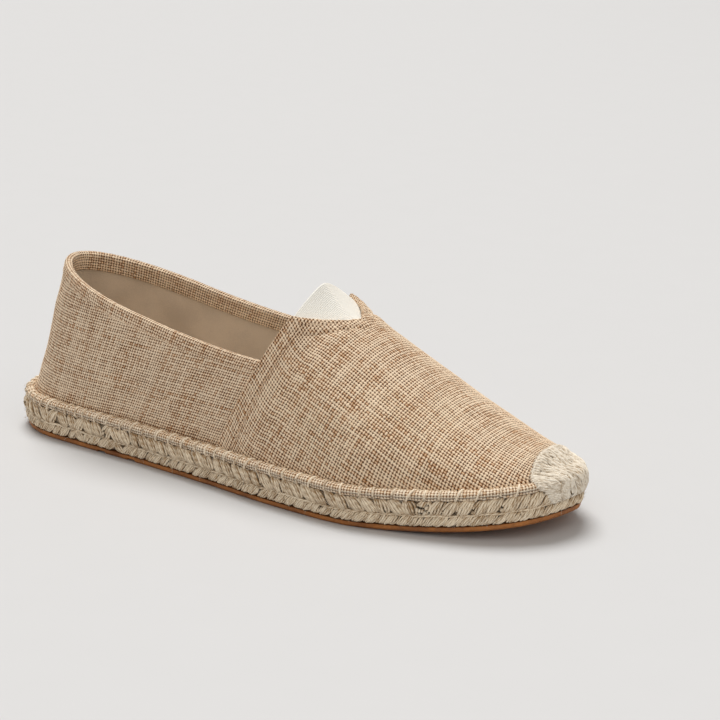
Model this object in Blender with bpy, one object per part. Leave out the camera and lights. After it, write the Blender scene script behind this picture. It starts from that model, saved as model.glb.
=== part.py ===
"""Espadrille for a right foot: a hollow burlap upper with an elastic gore, on a braided jute sole.

X runs from the heel to the toe, Y to the medial side and Z up. Sizes are in metres.
"""

import math

import bpy
import numpy as np

# Sole sizes
LENGTH = 0.280
BALL_WIDTH = 0.0951
TOE_SHIFT = 0.0045
TOE_SPRING = 0.0077
SPRING_START = 0.70
OUTSOLE_THICK = 0.0023
OUTSOLE_INSET = 0.0015
JUTE_HEIGHT = 0.0110
FRONT_THINNING = 0.06
INSOLE_THICK = 0.0022
CHANNEL_DEPTH = 0.0012
CHANNEL_WIDTH = 0.005
CHANNEL_PITCH = 0.018
CHANNEL_START = 0.0615
CHANNELS = 2

# Edge roll, upper and gore sizes
ROLL_WIDTH = 0.0032
ROLL_HEIGHT = 0.0030
WALL = 0.0020
VAMP_STEP = 0.0007
HEM_STEP = 0.0005
HEM_WIDTH = 0.0080
HEEL_HEIGHT = 0.0772
HEEL_LEAN = 0.0211
COLLAR_HALF = 0.0273
SIDE_HEIGHT = 0.0548
THROAT_HEIGHT = 0.0732
THROAT_X = 0.1585
NOTCH_X = 0.179
NOTCH_HEIGHT = 0.0700
INSTEP_HEIGHT = 0.0853
GORE_RISE = 0.0122
GORE_LEAN = 0.0038
GORE_SHIFT = -0.0022
GORE_PEAK = 0.19
GORE_FADE = 1.5
GORE_THICK = 0.0012
GORE_TUCK = 0.0055
CAP_THICK = 0.0018

# Clearances
GAP = 0.0003
SHELL_GAP = 0.0005
RIM_ROUND = 0.0006
STEP_RUN = 0.0004

# Sole edge: share of the length, then the half widths as shares of half the ball width
EDGE = (
    ("along", "lateral", "medial"),
    (0.000, 0.000, 0.000),
    (0.012, 0.302, 0.302),
    (0.050, 0.560, 0.560),
    (0.100, 0.675, 0.675),
    (0.170, 0.718, 0.711),
    (0.320, 0.787, 0.673),
    (0.460, 0.877, 0.694),
    (0.580, 0.973, 0.841),
    (0.700, 1.014, 0.978),
    (0.810, 0.882, 0.908),
    (0.905, 0.683, 0.690),
    (0.9625, 0.440, 0.455),
    (0.992, 0.135, 0.215),
    (1.000, 0.000, 0.000),
)

# Side of the outsole: inset from the edge and height, as shares of its inset and thickness
OUTSOLE_SIDE = (
    ("inset", "height"),
    (1.0, 0.0),
    (0.4, 0.4),
    (0.4, 1.0),
)

# Side of the insole: inset from the wall and height, both as shares of its thickness
INSOLE_SIDE = (
    ("inset", "height"),
    (0.3, 0.0),
    (0.9, 0.8),
    (1.3, 1.0),
)

# Side of the jute: inset from the edge and height, both as shares of the jute's height
JUTE_SIDE = (
    ("inset", "height"),
    (0.150, 0.00),
    (0.045, 0.09),
    (0.010, 0.22),
    (0.045, 0.35),
    (0.125, 0.43),
    (0.035, 0.53),
    (0.000, 0.70),
    (0.025, 0.88),
    (0.110, 1.00),
)

# Front of the upper: foot as a share along the edge, crown along the length and up from the
# sole as shares of the length and of the notch's height, bellies as shares of the ball width
CROWN = (
    ("foot", "along", "height", "lateral_belly", "medial_belly", "fullness"),
    (0.460, 0.582, 1.280, 0.002, 0.066, 0.97),
    (0.535, 0.639, 1.000, 0.002, 0.062, 0.93),
    (0.597, 0.689, 0.880, 0.003, 0.036, 1.02),
    (0.660, 0.745, 0.722, 0.004, 0.022, 1.06),
    (0.760, 0.822, 0.518, 0.004, 0.004, 1.10),
    (0.847, 0.900, 0.337, 0.003, 0.002, 1.04),
    (0.908, 0.943, 0.274, 0.001, 0.001, 0.95),
    (0.944, 0.950, 0.266, 0.000, 0.000, 0.90),
    (1.000, 0.957, 0.255, 0.000, 0.000, 0.90),
)

# Thickness of the toe cap from the groove up to the crown, as shares of its own thickness
CAP_PAD = (
    ("place", "thick"),
    (0.00, 0.45),
    (0.15, 0.70),
    (0.28, 0.75),
    (0.42, 1.30),
    (0.60, 1.45),
    (1.00, 1.00),
)

# Where the toe cap lies below the upper: its foot as a share of the jute's height, its bend
# over the roll as shares of the roll's width and height, and its gap there in shell gaps
CAP_FOOT = 0.47
CAP_SHOULDER = 0.55
CAP_INWARD = 0.42
CAP_OVER_ROLL = 1.3

# Rows of the mesh from heel to toe, and columns from the sole to the top
BACK_ROWS = 18
NOTCH_ROWS = 6
FRONT_ROWS = 20
SEAM_FOOT = 0.460
NOTCH_FOOT = 0.535
LOW_COLUMNS = 7
HIGH_COLUMNS = 6
CAP_ROWS = 6
CAP_FIRST_COLUMN = 3
GORE_ROWS_UNDER = 3
GORE_COLUMNS = 8
ROLL_SIDES = 8

# Shapes of the collar, the notch, the bellies, the gore and the cap's back edge, as shares and powers
COLLAR_ROUND = 0.45
COLLAR_DIP = 1.6
NOTCH_OPENING = 1.25
BELLY_START = 1.5
SEAM_SHARPNESS = 3
GORE_TUCKED = 0.25
GORE_UNDER_SPREAD = 1.4
CAP_EDGE = 0.6
CAP_EDGE_ROWS = 2

BURLAP = ("burlap", (0.52, 0.37, 0.22), 0.9)
JUTE = ("jute", (0.66, 0.57, 0.43), 0.9)
RUBBER = ("crepe_rubber", (0.35, 0.15, 0.06), 0.6)
ELASTIC = ("elastic", (0.83, 0.80, 0.72), 0.8)
COTTON = ("cotton", (0.50, 0.41, 0.31), 0.9)


def column(table, name):
    place = table[0].index(name)
    return np.array([row[place] for row in table[1:]], float)


def smooth(xs, ys, at):
    """A cubic through the points that keeps their rises and falls."""
    xs = np.asarray(xs, float)
    ys = np.asarray(ys, float)
    step = np.diff(xs)
    rise = np.diff(ys) / step
    slope = np.zeros(len(xs))
    for k in range(1, len(xs) - 1):
        if rise[k - 1] * rise[k] > 0:
            before = 2 * step[k] + step[k - 1]
            after = step[k] + 2 * step[k - 1]
            slope[k] = (before + after) / (before / rise[k - 1] + after / rise[k])
    for end, near, far in ((0, 0, 1), (-1, -1, -2)):
        guess = (2 * step[near] + step[far]) * rise[near] - step[near] * rise[far]
        guess /= step[near] + step[far]
        slope[end] = guess if guess * rise[near] > 0 else 0.0
    k = np.clip(np.searchsorted(xs, at, side="right") - 1, 0, len(step) - 1)
    t = (at - xs[k]) / step[k]
    return (
        (1 + 2 * t) * (1 - t) ** 2 * ys[k]
        + t * (1 - t) ** 2 * step[k] * slope[k]
        + t * t * (3 - 2 * t) * ys[k + 1]
        + t * t * (t - 1) * step[k] * slope[k + 1]
    )


def stations():
    """Shares along each side's edge: dense at the heel and toe, with rows on seam and notch."""
    back = SEAM_FOOT * np.linspace(0, 1, BACK_ROWS + 1) ** 1.15
    notch = np.linspace(SEAM_FOOT, NOTCH_FOOT, NOTCH_ROWS + 1)
    front = 1 - (1 - NOTCH_FOOT) * np.linspace(1, 0, FRONT_ROWS + 1) ** 1.35
    return np.concatenate([back, notch[1:], front[1:]])


ROW_SHARES = stations()
ROWS = len(ROW_SHARES) - 1
SEAM_ROW = BACK_ROWS
NOTCH_ROW = BACK_ROWS + NOTCH_ROWS
COLUMNS = LOW_COLUMNS + HIGH_COLUMNS
SIDES = {"lateral": -1, "medial": 1}


def edge_side(name):
    """The sole's edge on one side at every station, heel to toe."""
    x = LENGTH * column(EDGE, "along")
    y = SIDES[name] * BALL_WIDTH / 2 * column(EDGE, name)
    y[-1] = TOE_SHIFT
    chord = np.concatenate([[0], np.cumsum(np.hypot(np.diff(x), np.diff(y)))])
    fine = np.linspace(0, chord[-1], 800)
    curve = np.stack([smooth(chord, x, fine), smooth(chord, y, fine)], axis=1)
    length = np.concatenate([[0], np.cumsum(np.hypot(*np.diff(curve, axis=0).T))])
    at = ROW_SHARES * length[-1]
    return np.stack([np.interp(at, length, curve[:, k]) for k in range(2)], axis=1)


def edge_ring():
    """The closed edge: heel, lateral side, toe, medial side."""
    medial = edge_side("medial")
    return np.concatenate([edge_side("lateral"), medial[-2:0:-1]])


RING = edge_ring()


def ring_normals():
    ahead = np.roll(RING, -1, axis=0) - RING
    ahead /= np.linalg.norm(ahead, axis=1)[:, None]
    mean = ahead + np.roll(ahead, 1, axis=0)
    mean /= np.linalg.norm(mean, axis=1)[:, None]
    return np.stack([mean[:, 1], -mean[:, 0]], axis=1)


RING_NORMALS = ring_normals()


def ring_at(inset):
    return RING - RING_NORMALS * inset


def level(height, x):
    """Where a height in the sole's layers lies at x: thinner at the front, with toe spring."""
    share = np.asarray(x) / LENGTH
    thin = 1 - FRONT_THINNING * np.clip(share / SPRING_START, 0, 1)
    sprung = np.clip((share - SPRING_START) / (1 - SPRING_START), 0, None)
    return height * thin + TOE_SPRING * sprung**2


def lifted(ring, height):
    return np.column_stack([ring, level(height, ring[:, 0])])


def place_in_ring(side, row):
    return row if side == "lateral" or row in (0, ROWS) else len(RING) - row


JUTE_BASE = OUTSOLE_THICK + GAP
SOLE_TOP = JUTE_BASE + JUTE_HEIGHT
FOOT = SOLE_TOP + GAP
UPPER_INSET = GAP + ROLL_WIDTH + GAP
UPPER_RING = ring_at(UPPER_INSET)


def material(name, colour, roughness):
    made = bpy.data.materials.get(name) or bpy.data.materials.new(name)
    made.use_nodes = True
    shader = made.node_tree.nodes["Principled BSDF"]
    shader.inputs["Base Color"].default_value = (*colour, 1)
    shader.inputs["Roughness"].default_value = roughness
    shader.inputs["Metallic"].default_value = 0
    made.diffuse_color = (*colour, 1)
    return made


def add_object(name, points, faces, finish):
    mesh = bpy.data.meshes.new(name)
    mesh.from_pydata([tuple(map(float, point)) for point in points], [], faces)
    mesh.validate()
    mesh.materials.append(material(*finish))
    mesh.shade_smooth()
    mesh.set_sharp_from_angle(angle=math.radians(40))
    made = bpy.data.objects.new(name, mesh)
    bpy.context.collection.objects.link(made)
    return made


def without_repeats(face):
    kept = [v for k, v in enumerate(face) if v != face[k - 1]]
    return kept if len(kept) > 2 else None


def strips(first, second, count):
    """Faces between two closed rings of count points that start at these indices."""
    return [
        [first + k, first + (k + 1) % count, second + (k + 1) % count, second + k]
        for k in range(count)
    ]


def rungs(start, count, upward):
    """Faces across a ring, from its lateral to its medial side."""
    made = []
    for row in range(ROWS):
        low = [start + place_in_ring("lateral", r) for r in (row, row + 1)]
        high = [start + place_in_ring("medial", r) for r in (row + 1, row)]
        face = without_repeats(low + high)
        made.append(face if upward else face[::-1])
    return made


def add_slab(name, profile, finish):
    """A solid that fills the ring: its side follows (inset, height) from bottom to top."""
    count = len(RING)
    points = np.concatenate([lifted(ring_at(inset), height) for inset, height in profile])
    faces = []
    for k in range(len(profile) - 1):
        faces += strips(k * count, (k + 1) * count, count)
    faces += rungs(0, count, upward=False)
    faces += rungs((len(profile) - 1) * count, count, upward=True)
    return add_object(name, points, faces, finish)


def add_ring(name, profile, finish):
    """A closed tube around the ring with the profile's (inset, height) as its section."""
    count = len(RING)
    points = np.concatenate([lifted(ring_at(inset), height) for inset, height in profile])
    faces = []
    for k in range(len(profile)):
        faces += strips(k * count, (k + 1) % len(profile) * count, count)
    return add_object(name, points, faces, finish)


def seam_angle(height):
    """Where the lap seam's arc reaches a height."""
    return math.asin((height - FOOT) / (INSTEP_HEIGHT - FOOT))


SIDE_ANGLE = seam_angle(SIDE_HEIGHT)
THROAT_ANGLE = seam_angle(THROAT_HEIGHT)


def crown_of(row):
    """Crown point, throat angle and bellies of a front row, from the table or the notch's edge."""
    foot = ROW_SHARES[row]
    feet = column(CROWN, "foot")
    look = {name: float(smooth(feet, column(CROWN, name), foot)) for name in CROWN[0][1:]}
    x = LENGTH * look["along"]
    z = FOOT + (NOTCH_HEIGHT - FOOT) * look["height"]
    centre = TOE_SHIFT * max(0.0, (foot - NOTCH_FOOT) / (1 - NOTCH_FOOT)) ** 2
    angle = math.pi / 2
    if row < NOTCH_ROW:
        down = (row - SEAM_ROW) / NOTCH_ROWS
        edge_x = THROAT_X + (NOTCH_X - THROAT_X) * down
        edge_z = THROAT_HEIGHT + (NOTCH_HEIGHT - THROAT_HEIGHT) * down
        angle = THROAT_ANGLE + (math.pi / 2 - THROAT_ANGLE) * down**NOTCH_OPENING
        z = FOOT + (edge_z - FOOT) / math.sin(angle)
        foot_x = UPPER_RING[row][0]
        x = foot_x + (edge_x - foot_x) / math.sin(angle)
    bellies = {side: BALL_WIDTH * look[side + "_belly"] for side in SIDES}
    return (x, centre, z), angle, bellies, look["fullness"]


def front_point(side, row, angle):
    """A point on the arc from the sole's edge to the crown, angle 0 at the sole."""
    crown, _, bellies, fullness = crown_of(row)
    foot = UPPER_RING[place_in_ring(side, row)]
    base = level(FOOT, foot[0])
    out = max(math.cos(angle), 0.0) ** fullness
    up = math.sin(angle)
    x = foot[0] + (crown[0] - foot[0]) * up
    y = crown[1] + (foot[1] - crown[1]) * out
    y += SIDES[side] * bellies[side] * max(math.sin(2 * angle), 0.0) ** BELLY_START
    return np.array([x, y, base + (crown[2] - base) * up])


def collar_point(side, row):
    heel = UPPER_RING[0][0]
    seam = UPPER_RING[place_in_ring(side, SEAM_ROW)][0]
    along = (UPPER_RING[place_in_ring(side, row)][0] - heel) / (seam - heel)
    end = front_point(side, SEAM_ROW, SIDE_ANGLE)
    round_share = min(along / COLLAR_ROUND, 1.0)
    half = COLLAR_HALF * math.sqrt(1 - (1 - round_share) ** 2)
    rest = max(along - COLLAR_ROUND, 0.0) / (1 - COLLAR_ROUND)
    y = SIDES[side] * half + (end[1] - SIDES[side] * COLLAR_HALF) * rest
    drop = 1 - (1 - along) ** COLLAR_DIP
    x = HEEL_LEAN + (end[0] - HEEL_LEAN) * along
    return np.array([x, y, HEEL_HEIGHT + (SIDE_HEIGHT - HEEL_HEIGHT) * drop]), along


def back_point(side, row, share):
    """A point of the quarter: straight at the heel, with more of the seam's bow further on."""
    top, along = collar_point(side, row)
    foot = lifted(UPPER_RING, FOOT)[place_in_ring(side, row)]
    start = front_point(side, SEAM_ROW, 0.0)
    end = front_point(side, SEAM_ROW, SIDE_ANGLE)
    bow = front_point(side, SEAM_ROW, SIDE_ANGLE * share) - (start + (end - start) * share)
    return foot + (top - foot) * share + bow * along


def low_shares(side, row):
    """Columns of the quarter, with two at the hem's lower edge, as shares of its height."""
    top, _ = collar_point(side, min(row, SEAM_ROW))
    foot = lifted(UPPER_RING, FOOT)[place_in_ring(side, min(row, SEAM_ROW))]
    height = np.linalg.norm(top - foot)
    hem = 1 - HEM_WIDTH / height
    below = hem - 2 * STEP_RUN / height
    made = np.append(np.linspace(0, below, LOW_COLUMNS - 1), [hem, 1.0])
    if row > SEAM_ROW:
        fade = min((row - SEAM_ROW) / NOTCH_ROWS, 1.0)
        made = made + (np.linspace(0, 1, LOW_COLUMNS + 1) - made) * fade
    return made


def front_angle(side, row, place):
    """The angle of a column on a front row."""
    _, end, _, _ = crown_of(row)
    middle = end * SIDE_ANGLE / THROAT_ANGLE
    if place <= LOW_COLUMNS:
        return middle * low_shares(side, row)[place]
    return middle + (end - middle) * (place - LOW_COLUMNS) / HIGH_COLUMNS


class Sheet:
    """A surface without thickness: points by key, and faces of keys."""

    def __init__(self):
        self.points = []
        self.index = {}
        self.faces = []

    def add(self, key, point):
        if key not in self.index:
            self.index[key] = len(self.points)
            self.points.append(np.asarray(point, float))
        return self.index[key]

    def face(self, *keys):
        face = without_repeats([self.index[key] for key in keys])
        if face:
            self.faces.append(face)

    def normals(self):
        points = np.array(self.points)
        total = np.zeros_like(points)
        for face in self.faces:
            corners = points[face]
            after = np.roll(corners, -1, axis=0)
            total[face] += np.cross(corners, after).sum(axis=0)
        return total / np.linalg.norm(total, axis=1)[:, None]

    def rim(self):
        """Edges with one face, in that face's direction."""
        used = {}
        for face in self.faces:
            for a, b in zip(face, face[1:] + face[:1]):
                used[(a, b)] = True
        return [(a, b) for a, b in used if (b, a) not in used]

    def rim_ways(self, rim):
        """At each rim point, the way out of the sheet."""
        points = np.array(self.points)
        normals = self.normals()
        ways = {}
        for a, b in rim:
            along = points[b] - points[a]
            along /= np.linalg.norm(along)
            for v in (a, b):
                ways[v] = ways.get(v, 0) + np.cross(along, normals[v])
        return {v: way / np.linalg.norm(way) for v, way in ways.items()}


def add_shell(name, sheet, inward, outward, flat, finish):
    """Thickens a sheet by two depths at each point; flat points rest on the sole's level."""
    points = np.array(sheet.points)
    normals = sheet.normals()
    outer = points + normals * np.asarray(outward)[:, None]
    inner = points - normals * np.asarray(inward)[:, None]
    for skin in (outer, inner):
        for v, height in flat.items():
            skin[v, 2] = level(height, skin[v, 0])
    rim = sheet.rim()
    middle = {}
    verts = list(outer) + list(inner)
    for v, way in sheet.rim_ways(rim).items():
        middle[v] = len(verts)
        bulge = 0.0 if v in flat else RIM_ROUND
        verts.append((outer[v] + inner[v]) / 2 + way * bulge)
    count = len(points)
    faces = [list(face) for face in sheet.faces]
    faces += [[v + count for v in reversed(face)] for face in sheet.faces]
    for a, b in rim:
        faces.append([b, a, middle[a], middle[b]])
        faces.append([middle[b], middle[a], a + count, b + count])
    return add_object(name, verts, faces, finish)


def shared_key(side, row, place, top):
    """One key for points that both sides share: heel, toe and crown."""
    if row in (0, ROWS) or place == top:
        side = "both"
    return (side, row, place)


def ordered(side, keys):
    """Turns a face's keys so that it faces out on either side."""
    return keys if side == "lateral" else keys[::-1]


def upper_sheet():
    sheet = Sheet()
    inward = {}
    outward = {}
    flat = {}
    for side in SIDES:
        for row in range(SEAM_ROW + 1):
            shares = low_shares(side, row)
            for place in range(LOW_COLUMNS + 1):
                point = back_point(side, row, shares[place])
                if row == SEAM_ROW:
                    point[0] -= STEP_RUN
                key = ("back",) + shared_key(side, row, place, None)
                v = sheet.add(key, point)
                reach = (row / SEAM_ROW) ** SEAM_SHARPNESS
                outward[v] = -VAMP_STEP * reach
                hem = HEM_STEP if place >= LOW_COLUMNS - 1 else 0.0
                inward[v] = WALL + hem
                if place == 0:
                    flat[v] = FOOT
        for row in range(SEAM_ROW, ROWS + 1):
            crowned = COLUMNS if row >= NOTCH_ROW else None
            for place in range(COLUMNS + 1):
                point = front_point(side, row, front_angle(side, row, place))
                key = ("front",) + shared_key(side, row, place, crowned)
                v = sheet.add(key, point)
                outward[v] = 0.0
                inward[v] = WALL
                if place == 0:
                    flat[v] = FOOT
    for side in SIDES:
        for row in range(SEAM_ROW):
            for place in range(LOW_COLUMNS):
                keys = [
                    ("back",) + shared_key(side, r, p, None)
                    for r, p in ((row, place), (row + 1, place), (row + 1, place + 1), (row, place + 1))
                ]
                sheet.face(*ordered(side, keys))
        for place in range(LOW_COLUMNS):
            keys = [
                (part, side, SEAM_ROW, p)
                for part, p in (
                    ("back", place),
                    ("front", place),
                    ("front", place + 1),
                    ("back", place + 1),
                )
            ]
            sheet.face(*ordered(side, keys))
        for row in range(SEAM_ROW, ROWS):
            for place in range(COLUMNS):
                keys = []
                for r, p in ((row, place), (row + 1, place), (row + 1, place + 1), (row, place + 1)):
                    crowned = COLUMNS if r >= NOTCH_ROW else None
                    keys.append(("front",) + shared_key(side, r, p, crowned))
                sheet.face(*ordered(side, keys))
    order = range(len(sheet.points))
    return sheet, [inward[v] for v in order], [outward[v] for v in order], flat


def add_upper():
    sheet, inward, outward, flat = upper_sheet()
    return add_shell("upper", sheet, inward, outward, flat, BURLAP)


def gore_point(side, row, start, share):
    """Under the vamp the gore follows its arc; in the notch it rises to a soft peak."""
    _, end, _, _ = crown_of(row)
    tucked = GORE_TUCKED if row < NOTCH_ROW else 1.0
    if share <= tucked:
        return front_point(side, row, start + (end - start) * share / tucked)
    edge = front_point(side, row, end)
    across = 1 - (share - tucked) / (1 - tucked)
    rise = 1 - (math.hypot(across, GORE_PEAK) - GORE_PEAK) / (math.hypot(1, GORE_PEAK) - GORE_PEAK)
    left = (1 - (row - SEAM_ROW) / NOTCH_ROWS) ** GORE_FADE
    x = edge[0] + GORE_LEAN * rise * left
    y = edge[1] * across + GORE_SHIFT * (1 - across**2) * left
    return np.array([x, y, edge[2] + GORE_RISE * rise * left])


def add_gore():
    """The elastic lies under the notch on the continued arcs of the throat."""
    sheet = Sheet()
    rows = range(SEAM_ROW, NOTCH_ROW + GORE_ROWS_UNDER)
    places = GORE_COLUMNS
    for side in SIDES:
        for row in rows:
            crown, end, _, _ = crown_of(row)
            spread = GORE_UNDER_SPREAD if row > NOTCH_ROW else 1.0
            start = end - spread * GORE_TUCK / (crown[2] - FOOT) * math.pi / 2
            for place in range(places + 1):
                key = ("both" if place == places else side, row, place)
                sheet.add(key, gore_point(side, row, start, place / places))
    for side in SIDES:
        for row in rows[:-1]:
            for place in range(places):
                keys = [
                    ("both" if p == places else side, r, p)
                    for r, p in ((row, place), (row + 1, place), (row + 1, place + 1), (row, place + 1))
                ]
                sheet.face(*ordered(side, keys))
    depth = WALL + SHELL_GAP
    count = len(sheet.points)
    return add_shell(
        "elastic_gore", sheet, [depth + GORE_THICK] * count, [-depth] * count, {}, ELASTIC
    )


def cap_base(side, row):
    """The cap's inner face below the upper: in the groove, beside the sole's top and the roll,
    and over the roll.
    """
    place = place_in_ring(side, row)
    made = []
    for inset, height in (
        (-SHELL_GAP, JUTE_BASE + CAP_FOOT * JUTE_HEIGHT),
        (-SHELL_GAP, SOLE_TOP),
        (-SHELL_GAP, FOOT + CAP_SHOULDER * ROLL_HEIGHT),
        (CAP_INWARD * ROLL_WIDTH, FOOT + ROLL_HEIGHT + CAP_OVER_ROLL * SHELL_GAP),
    ):
        spot = RING[place] - RING_NORMALS[place] * inset
        made.append(np.array([*spot, level(height, spot[0])]))
    return made


def add_toe_cap():
    """A shell over the end of the upper, the roll and the upper row of the jute."""
    sheet = Sheet()
    flat = {}
    first = ROWS - CAP_ROWS
    below = len(cap_base("lateral", ROWS))
    top = below + COLUMNS - CAP_FIRST_COLUMN
    for side in SIDES:
        for row in range(first, ROWS + 1):
            points = cap_base(side, row)
            for place in range(CAP_FIRST_COLUMN, COLUMNS + 1):
                points.append(front_point(side, row, front_angle(side, row, place)))
            for place, point in enumerate(points):
                v = sheet.add(shared_key(side, row, place, top), point)
                if place == 0:
                    flat[v] = JUTE_BASE + CAP_FOOT * JUTE_HEIGHT
    for side in SIDES:
        for row in range(first, ROWS):
            for place in range(top):
                keys = [
                    shared_key(side, r, p, top)
                    for r, p in ((row, place), (row + 1, place), (row + 1, place + 1), (row, place + 1))
                ]
                sheet.face(*ordered(side, keys))
    names = {v: key for key, v in sheet.index.items()}
    inward = []
    outward = []
    for v in range(len(sheet.points)):
        _, row, place = names[v]
        lift = SHELL_GAP if place >= below else 0.0
        edge = min((row - first) / CAP_EDGE_ROWS, 1.0)
        pad = float(smooth(column(CAP_PAD, "place"), column(CAP_PAD, "thick"), place / top))
        inward.append(-lift)
        outward.append(lift + CAP_THICK * pad * (CAP_EDGE + (1 - CAP_EDGE) * edge))
    return add_shell("toe_cap", sheet, inward, outward, flat, JUTE)


def add_outsole():
    """The rubber sheet, with two channels across its heel."""
    profile = [(OUTSOLE_INSET * inset, OUTSOLE_THICK * height) for inset, height in OUTSOLE_SIDE[1:]]
    made = add_slab("outsole", profile, RUBBER)
    for k in range(CHANNELS):
        middle = CHANNEL_START + CHANNEL_WIDTH / 2 + k * CHANNEL_PITCH
        low = np.array([middle - CHANNEL_WIDTH / 2, -BALL_WIDTH, -CHANNEL_DEPTH])
        high = np.array([middle + CHANNEL_WIDTH / 2, BALL_WIDTH, CHANNEL_DEPTH])
        cutter = add_box(f"channel_cutter_{k + 1}", low, high)
        cut = made.modifiers.new(cutter.name, "BOOLEAN")
        cut.operation = "DIFFERENCE"
        cut.solver = "EXACT"
        cut.object = cutter
    return made


def add_box(name, low, high):
    spans = list(zip(low, high))
    corners = [(x, y, z) for x in spans[0] for y in spans[1] for z in spans[2]]
    faces = [(0, 1, 3, 2), (4, 6, 7, 5), (0, 4, 5, 1), (2, 3, 7, 6), (0, 2, 6, 4), (1, 5, 7, 3)]
    made = add_object(name, corners, faces, RUBBER)
    made.hide_render = True
    made.display_type = "WIRE"
    return made


def add_jute_sole():
    profile = [
        (JUTE_HEIGHT * inset, JUTE_BASE + JUTE_HEIGHT * height) for inset, height in JUTE_SIDE[1:]
    ]
    return add_slab("jute_sole", profile, JUTE)


def add_insole():
    inner = UPPER_INSET + WALL + SHELL_GAP
    profile = [
        (inner + INSOLE_THICK * inset, FOOT + INSOLE_THICK * height)
        for inset, height in INSOLE_SIDE[1:]
    ]
    return add_slab("insole", profile, COTTON)


def add_edge_roll():
    profile = []
    reach = 0.5 / math.cos(math.pi / ROLL_SIDES)
    for k in range(ROLL_SIDES):
        turn = 2 * math.pi * (k + 0.5) / ROLL_SIDES
        inset = GAP + ROLL_WIDTH * (0.5 - reach * math.cos(turn))
        height = FOOT + ROLL_HEIGHT * (0.5 + reach * math.sin(turn))
        profile.append((inset, height))
    return add_ring("edge_roll", profile, BURLAP)


def set_origin():
    """Moves every mesh so that the shoe stands centred on the origin."""
    bpy.context.view_layer.update()
    shown = [made for made in bpy.data.objects if not made.hide_render]
    corners = np.array([point.co for made in shown for point in made.data.vertices])
    middle = (corners.min(axis=0) + corners.max(axis=0)) / 2
    shift = np.array([-middle[0], -middle[1], 0.0])
    for made in bpy.data.objects:
        for point in made.data.vertices:
            point.co = [point.co[k] + shift[k] for k in range(3)]
        made.data.update()


def main():
    for old in list(bpy.data.objects):
        bpy.data.objects.remove(old, do_unlink=True)
    add_outsole()
    add_jute_sole()
    add_insole()
    add_edge_roll()
    add_upper()
    add_gore()
    add_toe_cap()
    set_origin()


main()
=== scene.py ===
"""Looks of an espadrille for a right foot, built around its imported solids.

Woven burlap, braided jute, a thread-covered toe, ribbed elastic, a cotton lining and a rubber sole.
X runs from the heel to the toe, Y to the medial side and Z up. Sizes are in metres.
"""

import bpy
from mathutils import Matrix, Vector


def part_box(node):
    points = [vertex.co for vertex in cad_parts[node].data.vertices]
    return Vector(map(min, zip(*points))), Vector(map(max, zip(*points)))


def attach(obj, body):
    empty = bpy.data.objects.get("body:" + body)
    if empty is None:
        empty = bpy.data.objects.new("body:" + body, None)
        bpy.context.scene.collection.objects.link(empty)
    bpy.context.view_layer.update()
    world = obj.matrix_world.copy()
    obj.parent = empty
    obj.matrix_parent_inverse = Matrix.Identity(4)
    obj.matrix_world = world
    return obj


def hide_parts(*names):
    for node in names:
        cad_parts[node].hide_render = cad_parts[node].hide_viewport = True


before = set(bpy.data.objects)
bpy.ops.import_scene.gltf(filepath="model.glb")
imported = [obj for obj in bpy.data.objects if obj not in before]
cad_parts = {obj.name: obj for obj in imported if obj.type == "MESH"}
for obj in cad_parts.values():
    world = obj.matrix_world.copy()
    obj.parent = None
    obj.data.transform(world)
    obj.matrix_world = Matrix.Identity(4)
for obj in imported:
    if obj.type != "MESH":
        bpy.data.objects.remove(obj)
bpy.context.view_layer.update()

import math

import bpy
import numpy as np
from mathutils import Vector

# Sizes of the solids, which the looks follow. The gore's rise, lean, shift and peak are the
# scene's own: they were tuned to the photo here, and the solid keeps its first ones.
LENGTH = 0.280
BALL_WIDTH = 0.0951
TOE_SHIFT = 0.0045
TOE_SPRING = 0.0077
SPRING_START = 0.70
OUTSOLE_THICK = 0.0023
JUTE_HEIGHT = 0.0110
FRONT_THINNING = 0.06
INSOLE_THICK = 0.0022
ROLL_WIDTH = 0.0032
ROLL_HEIGHT = 0.0030
WALL = 0.0020
VAMP_STEP = 0.0007
HEEL_HEIGHT = 0.0772
HEEL_LEAN = 0.0211
COLLAR_HALF = 0.0273
SIDE_HEIGHT = 0.0548
THROAT_HEIGHT = 0.0732
THROAT_X = 0.1585
NOTCH_X = 0.179
NOTCH_HEIGHT = 0.0700
INSTEP_HEIGHT = 0.0853
GORE_RISE = 0.0117
GORE_LEAN = 0.0046
GORE_SHIFT = -0.0012
GORE_PEAK = 0.36
GORE_FADE = 1.5
GORE_THICK = 0.0012
GORE_TUCK = 0.0055
CAP_THICK = 0.0018
GAP = 0.0003
SHELL_GAP = 0.0005

EDGE = (
    ("along", "lateral", "medial"),
    (0.000, 0.000, 0.000),
    (0.012, 0.302, 0.302),
    (0.050, 0.560, 0.560),
    (0.100, 0.675, 0.675),
    (0.170, 0.718, 0.711),
    (0.320, 0.787, 0.673),
    (0.460, 0.877, 0.694),
    (0.580, 0.973, 0.841),
    (0.700, 1.014, 0.978),
    (0.810, 0.882, 0.908),
    (0.905, 0.683, 0.690),
    (0.9625, 0.440, 0.455),
    (0.992, 0.135, 0.215),
    (1.000, 0.000, 0.000),
)

CROWN = (
    ("foot", "along", "height", "lateral_belly", "medial_belly", "fullness"),
    (0.460, 0.582, 1.280, 0.002, 0.066, 0.97),
    (0.535, 0.639, 1.000, 0.002, 0.062, 0.93),
    (0.597, 0.689, 0.880, 0.003, 0.036, 1.02),
    (0.660, 0.745, 0.722, 0.004, 0.022, 1.06),
    (0.760, 0.822, 0.518, 0.004, 0.004, 1.10),
    (0.847, 0.900, 0.337, 0.003, 0.002, 1.04),
    (0.908, 0.943, 0.274, 0.001, 0.001, 0.95),
    (0.944, 0.950, 0.266, 0.000, 0.000, 0.90),
    (1.000, 0.957, 0.255, 0.000, 0.000, 0.90),
)

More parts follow.
